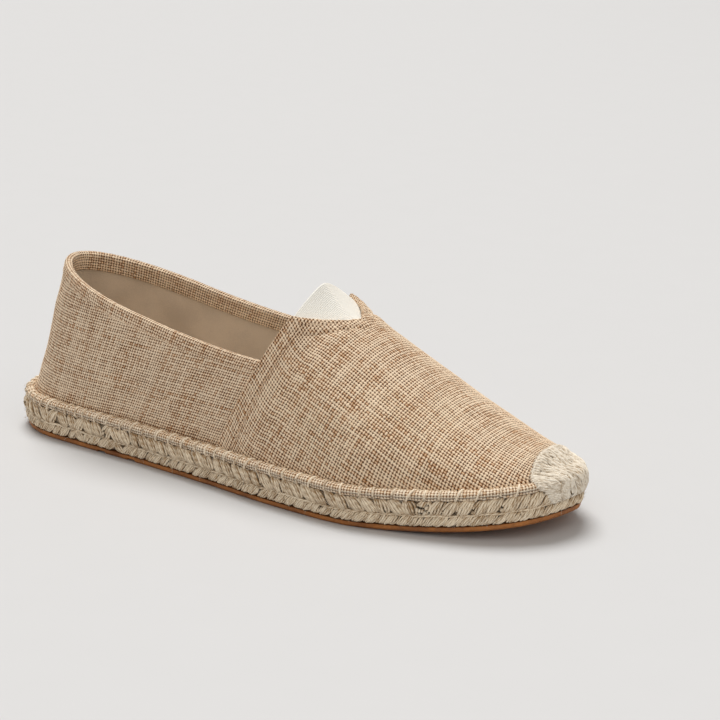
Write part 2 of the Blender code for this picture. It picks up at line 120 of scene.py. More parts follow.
BACK_ROWS = 18
NOTCH_ROWS = 6
FRONT_ROWS = 20
SEAM_FOOT = 0.460
NOTCH_FOOT = 0.535
CAP_ROWS = 6
COLLAR_ROUND = 0.45
COLLAR_DIP = 1.6
NOTCH_OPENING = 1.25
BELLY_START = 1.5

# Cloth: spacing of the burlap's yarns, mesh points per yarn, and how far yarns stand up and dip
YARN = 0.00128
POINTS_PER_YARN = 2
YARN_RISE = 0.00024
YARN_SWAY = 0.00015
YARN_WANDER = 0.00022
HALF_YARN = 0.5
YARN_SORTS = 4096
KNOT_POINTS = 14
SLOW_POINTS = 22

# Camera, in the sole's frame, whose origin is under the heel's end
CAMERA_PLACE = (0.63835, -0.66814, 0.29104)
CAMERA_LOOK = (-0.54475, 0.78990, -0.28162)
FOCAL_PIXELS = 2047.92
FRAME_PIXELS = 720
SENSOR = 36.0


def column(table, name):
    place = table[0].index(name)
    return np.array([row[place] for row in table[1:]], float)


def smooth(xs, ys, at):
    """A cubic through the points that keeps their rises and falls."""
    xs = np.asarray(xs, float)
    ys = np.asarray(ys, float)
    step = np.diff(xs)
    rise = np.diff(ys) / step
    slope = np.zeros(len(xs))
    for k in range(1, len(xs) - 1):
        if rise[k - 1] * rise[k] > 0:
            before = 2 * step[k] + step[k - 1]
            after = step[k] + 2 * step[k - 1]
            slope[k] = (before + after) / (before / rise[k - 1] + after / rise[k])
    for end, near, far in ((0, 0, 1), (-1, -1, -2)):
        guess = (2 * step[near] + step[far]) * rise[near] - step[near] * rise[far]
        guess /= step[near] + step[far]
        slope[end] = guess if guess * rise[near] > 0 else 0.0
    k = np.clip(np.searchsorted(xs, at, side="right") - 1, 0, len(step) - 1)
    t = (at - xs[k]) / step[k]
    return (
        (1 + 2 * t) * (1 - t) ** 2 * ys[k]
        + t * (1 - t) ** 2 * step[k] * slope[k]
        + t * t * (3 - 2 * t) * ys[k + 1]
        + t * t * (t - 1) * step[k] * slope[k + 1]
    )


def stations():
    back = SEAM_FOOT * np.linspace(0, 1, BACK_ROWS + 1) ** 1.15
    notch = np.linspace(SEAM_FOOT, NOTCH_FOOT, NOTCH_ROWS + 1)
    front = 1 - (1 - NOTCH_FOOT) * np.linspace(1, 0, FRONT_ROWS + 1) ** 1.35
    return np.concatenate([back, notch[1:], front[1:]])


ROW_SHARES = stations()
ROWS = len(ROW_SHARES) - 1
SEAM_ROW = BACK_ROWS
NOTCH_ROW = BACK_ROWS + NOTCH_ROWS
SIDES = {"lateral": -1, "medial": 1}


def edge_side(name):
    """The sole's edge on one side at every station, heel to toe."""
    x = LENGTH * column(EDGE, "along")
    y = SIDES[name] * BALL_WIDTH / 2 * column(EDGE, name)
    y[-1] = TOE_SHIFT
    chord = np.concatenate([[0], np.cumsum(np.hypot(np.diff(x), np.diff(y)))])
    fine = np.linspace(0, chord[-1], 800)
    curve = np.stack([smooth(chord, x, fine), smooth(chord, y, fine)], axis=1)
    length = np.concatenate([[0], np.cumsum(np.hypot(*np.diff(curve, axis=0).T))])
    at = ROW_SHARES * length[-1]
    return np.stack([np.interp(at, length, curve[:, k]) for k in range(2)], axis=1)


RING = np.concatenate([edge_side("lateral"), edge_side("medial")[-2:0:-1]])


def ring_normals():
    ahead = np.roll(RING, -1, axis=0) - RING
    ahead /= np.linalg.norm(ahead, axis=1)[:, None]
    mean = ahead + np.roll(ahead, 1, axis=0)
    mean /= np.linalg.norm(mean, axis=1)[:, None]
    return np.stack([mean[:, 1], -mean[:, 0]], axis=1)


RING_NORMALS = ring_normals()


def level(height, x):
    """Where a height in the sole's layers lies at x: thinner at the front, with toe spring."""
    share = np.asarray(x) / LENGTH
    thin = 1 - FRONT_THINNING * np.clip(share / SPRING_START, 0, 1)
    sprung = np.clip((share - SPRING_START) / (1 - SPRING_START), 0, None)
    return height * thin + TOE_SPRING * sprung**2


JUTE_BASE = OUTSOLE_THICK + GAP
SOLE_TOP = JUTE_BASE + JUTE_HEIGHT
FOOT = SOLE_TOP + GAP
UPPER_INSET = GAP + ROLL_WIDTH + GAP
UPPER_RING = RING - RING_NORMALS * UPPER_INSET

# From the sole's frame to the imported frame
jute_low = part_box("jute_sole")[0]
SHIFT = np.array([jute_low.x - RING[:, 0].min(), jute_low.y - RING[:, 1].min(), 0.0])


def place_in_ring(side, row):
    return row if side == "lateral" or row in (0, ROWS) else len(RING) - row


def seam_angle(height):
    return math.asin((height - FOOT) / (INSTEP_HEIGHT - FOOT))


SIDE_ANGLE = seam_angle(SIDE_HEIGHT)
THROAT_ANGLE = seam_angle(THROAT_HEIGHT)


def crown_of(row):
    """Crown point, throat angle and bellies of a front row, from the table or the notch's edge."""
    foot = ROW_SHARES[row]
    feet = column(CROWN, "foot")
    look = {name: float(smooth(feet, column(CROWN, name), foot)) for name in CROWN[0][1:]}
    x = LENGTH * look["along"]
    z = FOOT + (NOTCH_HEIGHT - FOOT) * look["height"]
    centre = TOE_SHIFT * max(0.0, (foot - NOTCH_FOOT) / (1 - NOTCH_FOOT)) ** 2
    angle = math.pi / 2
    if row < NOTCH_ROW:
        down = (row - SEAM_ROW) / NOTCH_ROWS
        edge_x = THROAT_X + (NOTCH_X - THROAT_X) * down
        edge_z = THROAT_HEIGHT + (NOTCH_HEIGHT - THROAT_HEIGHT) * down
        angle = THROAT_ANGLE + (math.pi / 2 - THROAT_ANGLE) * down**NOTCH_OPENING
        z = FOOT + (edge_z - FOOT) / math.sin(angle)
        foot_x = UPPER_RING[row][0]
        x = foot_x + (edge_x - foot_x) / math.sin(angle)
    bellies = {side: BALL_WIDTH * look[side + "_belly"] for side in SIDES}
    return (x, centre, z), angle, bellies, look["fullness"]


CROWNS = {row: crown_of(row) for row in range(SEAM_ROW, ROWS + 1)}


def front_point(side, row, angle):
    """A point on the arc from the sole's edge to the crown, angle 0 at the sole."""
    crown, _, bellies, fullness = CROWNS[row]
    foot = UPPER_RING[place_in_ring(side, row)]
    base = level(FOOT, foot[0])
    out = max(math.cos(angle), 0.0) ** fullness
    up = math.sin(angle)
    x = foot[0] + (crown[0] - foot[0]) * up
    y = crown[1] + (foot[1] - crown[1]) * out
    y += SIDES[side] * bellies[side] * max(math.sin(2 * angle), 0.0) ** BELLY_START
    return np.array([x, y, base + (crown[2] - base) * up])


def collar_point(side, row):
    heel = UPPER_RING[0][0]
    seam = UPPER_RING[place_in_ring(side, SEAM_ROW)][0]
    along = (UPPER_RING[place_in_ring(side, row)][0] - heel) / (seam - heel)
    end = front_point(side, SEAM_ROW, SIDE_ANGLE)
    round_share = min(along / COLLAR_ROUND, 1.0)
    half = COLLAR_HALF * math.sqrt(1 - (1 - round_share) ** 2)
    rest = max(along - COLLAR_ROUND, 0.0) / (1 - COLLAR_ROUND)
    y = SIDES[side] * half + (end[1] - SIDES[side] * COLLAR_HALF) * rest
    drop = 1 - (1 - along) ** COLLAR_DIP
    x = HEEL_LEAN + (end[0] - HEEL_LEAN) * along
    return np.array([x, y, HEEL_HEIGHT + (SIDE_HEIGHT - HEEL_HEIGHT) * drop]), along


def back_point(side, row, share):
    """A point of the quarter: straight at the heel, with more of the seam's bow further on."""
    top, along = collar_point(side, row)
    x, y = UPPER_RING[place_in_ring(side, row)]
    foot = np.array([x, y, level(FOOT, x)])
    start = front_point(side, SEAM_ROW, 0.0)
    end = front_point(side, SEAM_ROW, SIDE_ANGLE)
    bow = front_point(side, SEAM_ROW, SIDE_ANGLE * share) - (start + (end - start) * share)
    return foot + (top - foot) * share + bow * along


def spline_weights(t, count):
    """Where to read a row of values and how much of each, for a smooth curve through them."""
    k = np.clip(np.floor(t).astype(int), 0, count - 2)
    f = t - k
    weights = (-f + 2 * f**2 - f**3, 2 - 5 * f**2 + 3 * f**3, f + 4 * f**2 - 3 * f**3, f**3 - f**2)
    return k, [w / 2 for w in weights]


def on_grid(grid, u, v):
    """Points at fractional places of a grid, on smooth curves through its points both ways."""
    u, v = np.broadcast_arrays(np.asarray(u, float), np.asarray(v, float))
    ku, wu = spline_weights(u, grid.shape[0])
    kv, wv = spline_weights(v, grid.shape[1])
    wide = np.concatenate([2 * grid[:1] - grid[1:2], grid, 2 * grid[-1:] - grid[-2:-1]])
    before, after = 2 * wide[:, :1] - wide[:, 1:2], 2 * wide[:, -1:] - wide[:, -2:-1]
    wide = np.concatenate([before, wide, after], axis=1)
    total = 0.0
    for a in range(4):
        for b in range(4):
            total = total + wide[ku + a, kv + b] * (wu[a] * wv[b])[..., None]
    return total


def unit(v):
    return v / np.maximum(np.linalg.norm(v, axis=-1, keepdims=True), 1e-12)


def running_length(points, axis):
    step = np.linalg.norm(np.diff(points, axis=axis), axis=-1)
    zero = np.zeros_like(np.take(step, [0], axis=axis))
    return np.concatenate([zero, np.cumsum(step, axis=axis)], axis=axis)


def slopes(grid, u, v):
    """Unit normals of a grid's surface at fractional places, and its directions along the rows."""
    small = 0.02
    ahead = on_grid(grid, u + small, v) - on_grid(grid, u - small, v)
    aside = on_grid(grid, u, v + small) - on_grid(grid, u, v - small)
    return unit(np.cross(ahead, aside)), unit(ahead)


class Cloth:
    """A curved surface measured as flat cloth: s along it and t across it, in metres."""

    FINE = 10

    def __init__(self, grid, middle, along, outward):
        self.grid = np.asarray(grid)
        n, m = self.grid.shape[:2]
        self.rows = np.linspace(0, n - 1, self.FINE * (n - 1) + 1)
        self.columns = np.linspace(0, m - 1, self.FINE * (m - 1) + 1)
        points = on_grid(self.grid, self.rows[:, None], self.columns[None, :])
        across = running_length(points, 1)
        centre = int(round(middle * self.FINE))
        self.t = across - across[:, centre:centre + 1]
        lengths = running_length(points, 0)
        self.s = np.mean([lengths[:, int(c * self.FINE)] for c in along], axis=0)
        self.turn = outward

    def places(self, s, t):
        """Rows and columns of the grid at s (n) and t (n, m)."""
        rows = np.interp(s, self.s, self.rows)
        k = np.clip((rows * self.FINE).astype(int), 0, len(self.rows) - 2)
        f = rows * self.FINE - k
        found = np.empty(np.shape(t))
        for i in range(len(rows)):
            table = self.t[k[i]] * (1 - f[i]) + self.t[k[i] + 1] * f[i]
            found[i] = np.interp(t[i], table, self.columns)
        return np.broadcast_to(rows[:, None], found.shape), found

    def reach(self, s):
        """The lowest and highest t at each s."""
        return np.interp(s, self.s, self.t[:, 0]), np.interp(s, self.s, self.t[:, -1])

    def points(self, rows, columns):
        return on_grid(self.grid, rows, columns)

    def normals(self, rows, columns):
        return slopes(self.grid, rows, columns)[0] * self.turn


def vamp_cloth():
    """Rows from the seam to the toe; across from the lateral foot over the crown to the medial foot."""
    angles = np.linspace(0, math.pi / 2, HALF_COLUMNS + 1)
    grid = []
    for row in range(SEAM_ROW, ROWS + 1):
        lateral = [front_point("lateral", row, a) for a in angles]
        medial = [front_point("medial", row, a) for a in angles[-2::-1]]
        grid.append(lateral + medial)
    return Cloth(grid, HALF_COLUMNS, (HALF_COLUMNS / 2, HALF_COLUMNS * 1.5), 1)


def quarter_cloth():
    """Rows from the lateral seam round the heel to the medial seam; across from the foot up."""
    shares = np.linspace(0, 1, QUARTER_COLUMNS + 1)
    grid = []
    for turn in range(-SEAM_ROW, SEAM_ROW + 1):
        side = "lateral" if turn <= 0 else "medial"
        row = abs(turn)
        sink = VAMP_STEP * (row / SEAM_ROW) ** 3
        grid.append([back_point(side, row, share) for share in shares])
        grid[-1] = [point - [0, SIDES[side] * sink, 0] for point in grid[-1]]
    return Cloth(grid, 0, (QUARTER_COLUMNS / 2,), -1)


HALF_COLUMNS = 14
QUARTER_COLUMNS = 10
VAMP = vamp_cloth()
QUARTER = quarter_cloth()


class Ring:
    """The sole's edge as a smooth closed curve, by the length run from the heel's end."""

    def __init__(self):
        closed = np.concatenate([RING[-2:], RING, RING[:3]])[:, None, :]
        fine = np.linspace(2, len(RING) + 2, 40 * len(RING) + 1)
        self.curve = on_grid(np.concatenate([closed, closed], axis=1), fine, 0.0)
        self.lengths = running_length(self.curve, 0)
        self.length = self.lengths[-1]
        self.rows = fine - 2
        ahead = unit(np.gradient(self.curve, axis=0))
        self.out = np.stack([ahead[:, 1], -ahead[:, 0]], axis=1)

    def at(self, s, inset, height):
        """Points at these lengths, insets from the edge and heights in the sole's layers."""
        s, inset, height = np.broadcast_arrays(*(np.asarray(a, float) for a in (s, inset, height)))
        s = np.mod(s, self.length)
        spot = np.stack([np.interp(s, self.lengths, self.curve[:, k]) for k in range(2)], axis=-1)
        out = np.stack([np.interp(s, self.lengths, self.out[:, k]) for k in range(2)], axis=-1)
        spot = spot - unit(out) * inset[..., None]
        return np.concatenate([spot, level(height, spot[..., :1][..., 0])[..., None]], axis=-1)

    def length_at(self, row):
        return float(np.interp(row, self.rows, self.lengths))


SOLE = Ring()


def add_piece(name, shape, finish, slot, *nodes):
    """A piece on the one body, that may stand for solids; its slot is not used.

    Its shape is points in the sole's frame, quads, and places counted in yarns.
    """
    points, faces, uv = (np.reshape(part, (-1, width)) for part, width in zip(shape, (3, 4, 2)))
    used = np.unique(faces)
    renumber = np.zeros(len(points), int)
    renumber[used] = np.arange(len(used))
    faces = renumber[faces]
    mesh = bpy.data.meshes.new(name)
    mesh.vertices.add(len(used))
    mesh.vertices.foreach_set("co", (points[used] + SHIFT).astype(np.float32).ravel())
    mesh.loops.add(faces.size)
    mesh.loops.foreach_set("vertex_index", faces.astype(np.int32).ravel())
    mesh.polygons.add(len(faces))
    mesh.polygons.foreach_set("loop_start", np.arange(0, faces.size, 4, dtype=np.int32))
    layer = mesh.uv_layers.new(name="yarn")
    layer.data.foreach_set("uv", uv[used][faces.ravel()].astype(np.float32).ravel())
    mesh.update(calc_edges=True)
    mesh.validate()
    mesh.polygons.foreach_set("use_smooth", [True] * len(mesh.polygons))
    mesh.materials.append(finish)
    piece = bpy.data.objects.new(name, mesh)
    bpy.context.scene.collection.objects.link(piece)
    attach(piece, "root")
    if nodes:
        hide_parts(*nodes)


def quads(n, m, closed_n=False, closed_m=False, flip=False):
    """Faces of an n by m grid of points."""
    i = np.arange(n if closed_n else n - 1)[:, None]
    j = np.arange(m if closed_m else m - 1)[None, :]
    a = i * m + j
    b = (i + 1) % n * m + j
    c = (i + 1) % n * m + (j + 1) % m
    d = i * m + (j + 1) % m
    corners = (a, d, c, b) if flip else (a, b, c, d)
    return np.stack([np.broadcast_to(q, (len(i), j.shape[1])) for q in corners], axis=-1)


def lid(start, count):
    """Quads that close a ring of an even count of points."""
    k = np.arange(1, count // 2)
    return start + np.stack([k, k + 1, count - k - 1, count - k], axis=-1)


def tubes(paths, radius, sides=6):
    """Round threads along paths (k, n, 3) with radius (k, n): points, quads and (around, along)."""
    paths = np.asarray(paths, float)
    k, n = paths.shape[:2]
    radius = np.broadcast_to(np.asarray(radius, float), (k, n))
    ahead = unit(np.gradient(paths, axis=1))
    steep = np.abs(ahead[..., 2:]) > 0.95
    side = unit(np.cross(np.where(steep, [1.0, 0.0, 0.0], [0.0, 0.0, 1.0]), ahead))
    up = np.cross(ahead, side)
    turn = np.linspace(0, 2 * math.pi, sides, endpoint=False)
    ring = side[:, :, None] * np.cos(turn)[:, None] + up[:, :, None] * np.sin(turn)[:, None]
    points = paths[:, :, None] + ring * radius[:, :, None, None]
    first = np.arange(k)[:, None, None] * n * sides
    faces = (first + quads(n, sides, closed_m=True, flip=True).reshape(-1, 4)).reshape(-1, 4)
    caps = []
    for start, order in ((0, -1), ((n - 1) * sides, 1)):
        around = (start + np.arange(sides))[::order]
        for a in range(1, sides - 2, 2):
            caps.append([around[0], around[a], around[a + 1], around[a + 2]])
    caps = (first + np.array(caps)).reshape(-1, 4)
    along = running_length(paths, 1)[:, :, None] + np.zeros(sides)
    around = np.zeros((k, n, 1)) + turn * 0.5 / math.pi + np.arange(k)[:, None, None]
    uv = np.stack([around, along / YARN], axis=-1).reshape(-1, 2)
    return points.reshape(-1, 3), np.concatenate([faces, caps]), uv


def joined(*parts):
    """Several (points, faces, uv) as one."""
    points, faces, uvs = [], [], []
    total = 0
    for p, f, uv in parts:
        points.append(np.reshape(p, (-1, 3)))
        faces.append(np.reshape(f, (-1, 4)) + total)
        uvs.append(np.reshape(uv, (-1, 2)))
        total += len(points[-1])
    return np.concatenate(points), np.concatenate(faces), np.concatenate(uvs)


def waves(at, seed, count=5):
    """Smooth noise from a few sines, between about -1 and 1."""
    random = np.random.default_rng(seed)
    total = 0.0
    for _ in range(count):
        pace = random.uniform(0.5, 2.0, 2)
        turned = pace[1] * random.choice([-1, 1])
        total = total + np.sin(at[0] * pace[0] + at[1] * turned + random.uniform(0, 6.3))
    return total / math.sqrt(count)


def weave_height(a, b, seed):
    """Height of a plain weave at yarn places a and b, whole numbers on the yarns' middles."""
    i, j = np.round(a), np.round(b)
    random = np.random.default_rng(seed)
    thick = random.uniform(0.7, 1.35, (2, YARN_SORTS))
    cross_a = np.sqrt(np.clip(1 - ((a - i) / HALF_YARN) ** 2, 0, 1))
    cross_b = np.sqrt(np.clip(1 - ((b - j) / HALF_YARN) ** 2, 0, 1))
    first = cross_a * thick[0, i.astype(int) % YARN_SORTS] * YARN_RISE
    first = first + YARN_SWAY * np.cos(math.pi * (b + i))
    second = cross_b * thick[1, j.astype(int) % YARN_SORTS] * YARN_RISE
    second = second - YARN_SWAY * np.cos(math.pi * (a + j))
    return np.maximum(first, second) - YARN_RISE


def wander(points, seed, still):
    """Moves the yarns a little along the cloth: a slow drift of all, and each yarn's own sway."""
    random = np.random.default_rng(seed)
    n, m = points.shape[:2]
    moved = points.copy()
    for axis in (0, 1):
        count, length = ((n, m), (m, n))[axis]
        knots = random.normal(0, 1, (count, length // KNOT_POINTS + 3))
        at = np.linspace(0, knots.shape[1] - 1, length)
        own = np.array([np.interp(at, np.arange(knots.shape[1]), row) for row in knots])
        own[1:] = (own[1:] + own[:-1]) / 2
        if axis:
            own = own.T
        places = (np.arange(n)[:, None] / SLOW_POINTS, np.arange(m)[None, :] / SLOW_POINTS)
        slow = waves(places, seed + 5 + axis)
        tangent = unit(np.gradient(points, axis=axis))
        moved += tangent * ((own * 0.55 + slow) * YARN_WANDER * still)[..., None]
    return moved


# Soft troughs (negative) and ridges of the upper: cloth, from s, t to s, t, half width, depth, all mm
FOLDS = (
    ("cloth", "s0", "t0", "s1", "t1", "wide", "deep"),
    ("vamp", 14, -46, 40, -60, 7.0, -0.5),
    ("vamp", 30, -20, 70, -34, 9.0, -0.35),
    ("vamp", 22, -32, 58, -47, 6.0, 0.35),
    ("vamp", 18, 44, 44, 60, 7.0, -0.5),
    ("vamp", 34, 20, 70, 32, 9.0, -0.3),
    ("vamp", 76, -22, 92, -2, 6.0, -0.3),
    ("vamp", 9, 21, 20, 11, 6.0, 1.3),
    ("quarter", 18, 8, 30, 38, 7.0, -0.5),
    ("quarter", 46, 40, 66, 10, 8.0, -0.45),
    ("quarter", 60, 44, 84, 22, 6.0, 0.3),
    ("quarter", 122, 20, 140, 34, 8.0, -0.5),
    ("quarter", 126, 44, 138, 44, 5.0, 0.3),
    ("quarter", 190, 42, 206, 12, 8.0, -0.45),
    ("quarter", 238, 8, 226, 38, 7.0, -0.5),
)


def folds(cloth, s, t):
    total = 0.0
    for name, s0, t0, s1, t1, wide, deep in FOLDS[1:]:
        if name != cloth:
            continue
        x, y = s * 1000 - s0, t * 1000 - t0
        dx, dy = s1 - s0, t1 - t0
        near = np.clip((x * dx + y * dy) / (dx * dx + dy * dy), 0, 1)
        away = np.hypot(x - near * dx, y - near * dy)
        ends = 0.35 + 0.65 * np.sin(math.pi * near) ** 0.5
        total = total + deep * 0.001 * ends * np.exp(-((away / wide) ** 2))
    return total


# Materials: colours are linear
BURLAP_LIGHT = (1.0, 0.80, 0.585)
BURLAP_MIDDLE = (0.50, 0.222, 0.070)
# Painted shade for the gaps between the burlap's yarns
BURLAP_GAP_SHADE = (0.085, 0.026, 0.006)
ROLL_MIDDLE = (0.72, 0.43, 0.21)
# Painted shade for the gaps between the roll's yarns
ROLL_GAP_SHADE = (0.20, 0.08, 0.03)
JUTE_LIGHT = (0.96, 0.83, 0.64)
JUTE_DARK = (0.34, 0.20, 0.085)
CAP_LIGHT = (0.92, 0.85, 0.735)
STITCH_LIGHT = (1.0, 0.87, 0.69)
CAP_DARK = (0.36, 0.24, 0.12)
ELASTIC_LIGHT = (1.0, 1.0, 0.955)
# Painted shade for the elastic's grooves
ELASTIC_GROOVE_SHADE = (0.93, 0.91, 0.84)
COTTON_LIGHT = (0.99, 0.835, 0.66)
COTTON_DARK = (0.80, 0.665, 0.52)
RUBBER_LIGHT = (0.52, 0.20, 0.048)
RUBBER_DARK = (0.22, 0.075, 0.02)
FLOOR_COLOUR = (0.625, 0.630, 0.642)
SHEEN_TINT = (1.0, 0.85, 0.68, 1.0)


class Value:
    """A number in a material's nodes, which takes plain arithmetic."""

    def __init__(self, shader, socket):
        self.shader = shader
        self.socket = socket

    def __add__(self, other):
        return self.shader.math("ADD", self, other)

    def __sub__(self, other):
        return self.shader.math("SUBTRACT", self, other)

    def __rsub__(self, other):
        return self.shader.math("SUBTRACT", other, self)

    def __mul__(self, other):
        return self.shader.math("MULTIPLY", self, other)

    def __truediv__(self, other):
        return self.shader.math("DIVIDE", self, other)


class Shader:
    """A material's nodes, added one by one; each call returns the node's value."""

    def __init__(self, name, roughness, sheen=0.0, specular=0.3):
        self.material = bpy.data.materials.new(name)
        self.material.use_nodes = True
        self.tree = self.material.node_tree
        self.inputs = self.tree.nodes["Principled BSDF"].inputs
        self.inputs["Roughness"].default_value = roughness
        self.inputs["Specular IOR Level"].default_value = specular
        self.inputs["Sheen Weight"].default_value = sheen
        self.inputs["Sheen Tint"].default_value = SHEEN_TINT

    def node(self, kind, fed=(), out=0, **settings):
        """A node with settings, values fed to its inputs by place or name, and one output."""
        made = self.tree.nodes.new(kind)
        for key, value in settings.items():
            setattr(made, key, value)
        for key, value in fed:
            self.feed(made.inputs[key], value)
        return Value(self, made.outputs[out])

    def feed(self, socket, value):
        if isinstance(value, Value):
            self.tree.links.new(value.socket, socket)
        elif isinstance(value, tuple) and len(value) == 3 and socket.type == "RGBA":
            socket.default_value = (*value, 1.0)
        else:
            socket.default_value = value

    def math(self, operation, *values):
        return self.node("ShaderNodeMath", enumerate(values), operation=operation)

    def combine(self, x, y, z=0.0):
        return self.node("ShaderNodeCombineXYZ", enumerate((x, y, z)))

    def split(self, vector):
        made = self.node("ShaderNodeSeparateXYZ", [(0, vector)])
        outputs = made.socket.node.outputs
        return Value(self, outputs[0]), Value(self, outputs[1])

    def noise(self, vector, scale, detail=2.0, rough=0.5):
        fed = (("Vector", vector), ("Scale", scale), ("Detail", detail), ("Roughness", rough))
        return self.node("ShaderNodeTexNoise", fed, "Fac")

    def random(self, vector):
        fed = [("Vector", vector)]
        return self.node("ShaderNodeTexWhiteNoise", fed, "Value", noise_dimensions="3D")

    def mix(self, share, a, b):
        return self.node("ShaderNodeMix", ((0, share), (6, a), (7, b)), 2, data_type="RGBA")

    def span(self, value, low, high, to_low=0.0, to_high=1.0):
        fed = enumerate((value, low, high, to_low, to_high))
        return self.node("ShaderNodeMapRange", fed, interpolation_type="SMOOTHSTEP")

    def place(self):
        return self.node("ShaderNodeTexCoord", out="Object")

    def yarn_place(self):
        return self.split(self.node("ShaderNodeUVMap", uv_map="yarn"))

    def finish(self, colour, height, distance, strength=1.0):
        self.feed(self.inputs["Base Color"], colour)
        fed = (("Distance", distance), ("Strength", strength), ("Height", height))
        self.feed(self.inputs["Normal"], self.node("ShaderNodeBump", fed))
        return self.material


def burlap(name, light, middle, gap_shade):
    """Plain weave: each yarn has its own tone and slubs; painted shade darkens the gaps between yarns, and
    painted highlight and shade follow each yarn's rise and dip.
    """
    s = Shader(name, 0.88, sheen=0.5, specular=0.2)
    a, b = s.yarn_place()
    near = [s.math("ROUND", x) for x in (a, b)]
    heights, shades = [], []
    for k, (place, along, sway) in enumerate(((a, b, 0.55), (b, a, -0.55))):
        slub = s.noise(s.combine(near[k] * 3.7, along * 0.11, 5.0 * k), 1.0)
        share = (place - near[k]) / s.span(slub, 0.3, 0.7, 0.36, 0.52)
        over = s.math("COSINE", (along + near[k]) * math.pi) * sway
        heights.append(1.0 - share * share + over)
        own = s.random(s.combine(near[k], 17.0 * k + 3.0))
        shades.append(own * 0.50 + slub * 0.60)
    height = s.math("MAXIMUM", *heights)
    first_on_top = s.math("GREATER_THAN", *heights)
    picked = ((0, first_on_top), (2, shades[1]), (3, shades[0]))
    own = s.node("ShaderNodeMix", picked, data_type="FLOAT")
    knot = s.random(s.combine(*near, 5.0))
    fibre = s.noise(s.combine(a * 5.0, b * 5.0), 1.0, 3.0, 0.7)
    patch = s.noise(s.place(), 45.0)
    # Own tone from each yarn, its fibres, knots and patches, plus painted highlight on the crests and
    # painted shade in the dips, from the weave's height
    tone = own + (fibre - 0.5) * 0.8 + (knot - 0.5) * 0.30
    tone = tone + (height - 1.1) * 0.75 - (patch - 0.5) * 0.2
    yarn = s.mix(s.span(tone, 0.06, 0.70), middle, light)
    # Painted shade: the colour turns to the dark one where the weave lies low between yarns
    colour = s.mix(s.span(height, 0.24, 1.16), gap_shade, yarn)
    return s.finish(colour, height + fibre * 0.5, 0.00030)


def threads(name, light, dark, twist, strength, flank_shade=0.0):
    """Plied jute: slanted plies, fibres along the thread, uneven tone, and painted shade on the flanks
    where strands lie side by side.
    """
    s = Shader(name, 0.9, sheen=0.2, specular=0.2)
    around, along = s.yarn_place()
    number = s.math("FLOOR", around)
    own = s.random(s.combine(number, 1.0))
    ply = s.math("SINE", around * (4 * math.pi) + along * twist) * 0.5 + 0.5
    fibre = s.noise(s.combine(around * 9.0 + along * 0.9, along * 0.7, number), 1.0, 3.0, 0.65)
    cloud = s.noise(s.place(), 190.0)
    edge = s.math("SINE", s.math("FRACT", around) * (2 * math.pi))
    # Painted shade: the last term darkens each thread's sides, where it lies against its neighbours
    tone = ply * 0.22 + fibre * 0.75 + own * 0.30 + cloud * 0.30 - edge * edge * flank_shade
    colour = s.mix(s.span(tone, 0.25, 0.95), dark, light)
    return s.finish(colour, ply * 0.5 + fibre, 0.00022, strength)


def jute_core(name, light, dark):
    """Matted fibre behind the strands, in the darkened colours it is given, as painted shade."""
    s = Shader(name, 0.95, specular=0.15)
    fine = s.noise(s.place(), 1500.0, 4.0, 0.7)
    cloud = s.noise(s.place(), 220.0)
    colour = s.mix(s.span(fine * 0.6 + cloud * 0.5, 0.35, 0.75), dark, light)
    return s.finish(colour, fine, 0.0003)


def cotton(name, light, dark):
    """Fine twill: slanted ribs too small to count, and faint blotches of uneven tone."""
    s = Shader(name, 0.85, sheen=0.3, specular=0.2)
    a, b = s.yarn_place()
    rib = s.math("SINE", (a + b) * 12.0)
    cross = s.math("SINE", (a - b) * 23.0)
    cloud = s.noise(s.place(), 60.0, 3.0)
    fine = s.noise(s.place(), 1800.0)
    colour = s.mix(s.span(cloud * 0.9 + fine * 0.35 + rib * 0.05, 0.35, 0.85), dark, light)
    return s.finish(colour, rib + cross + fine * 0.8, 0.00005)


def ribbed_elastic(name, light, dark):
    """Ribs along the elastic with a faint knit across them; painted shade darkens the colour in the
    grooves of ribs and knit.
    """
    s = Shader(name, 0.75, sheen=0.4, specular=0.25)
    a, b = s.yarn_place()
    rib = s.math("SINE", a * (2 * math.pi)) * 0.5 + 0.5
    knit = s.math("SINE", b * (4 * math.pi)) * 0.5 + 0.5
    fine = s.noise(s.place(), 2200.0)
    # Painted shade: darker where ribs and knit dip, with a fine speckle of its own
    colour = s.mix(s.span(rib * 0.75 + fine * 0.25 + knit * 0.12, 0.1, 0.75), dark, light)
    return s.finish(colour, rib + knit * 0.3, 0.00008)


def rubber(name, light, dark):
    """Mottled crepe."""
    s = Shader(name, 0.55, specular=0.4)
    fine = s.noise(s.place(), 900.0, 3.0, 0.6)
    cloud = s.noise(s.place(), 70.0, 3.0)
    colour = s.mix(s.span(fine * 0.35 + cloud * 0.7, 0.3, 0.75), dark, light)
    return s.finish(colour, fine, 0.00008)


def floor_finish():
    """Pale paint, slightly darker far off as painted shade, where the light falls off."""
    s = Shader("studio_floor", 0.9, specular=0.1)
    fine = s.noise(s.place(), 40.0)
    near = s.mix(fine, darker(FLOOR_COLOUR, 0.985), FLOOR_COLOUR)
    x, y = s.split(s.place())
    # Painted shade: darker to the right and far off, as the light falls off
    colour = s.mix(s.span(x * 0.8 + y * 0.6, 0.0, 2.2), near, darker(FLOOR_COLOUR, 0.84))
    return s.finish(colour, fine, 0.00002, 0.2)


def darker(colour, share):
    return tuple(share * c for c in colour)


BURLAP = burlap("burlap_cloth", BURLAP_LIGHT, BURLAP_MIDDLE, BURLAP_GAP_SHADE)
ROLL_BURLAP = burlap("roll_burlap", STITCH_LIGHT, ROLL_MIDDLE, ROLL_GAP_SHADE)
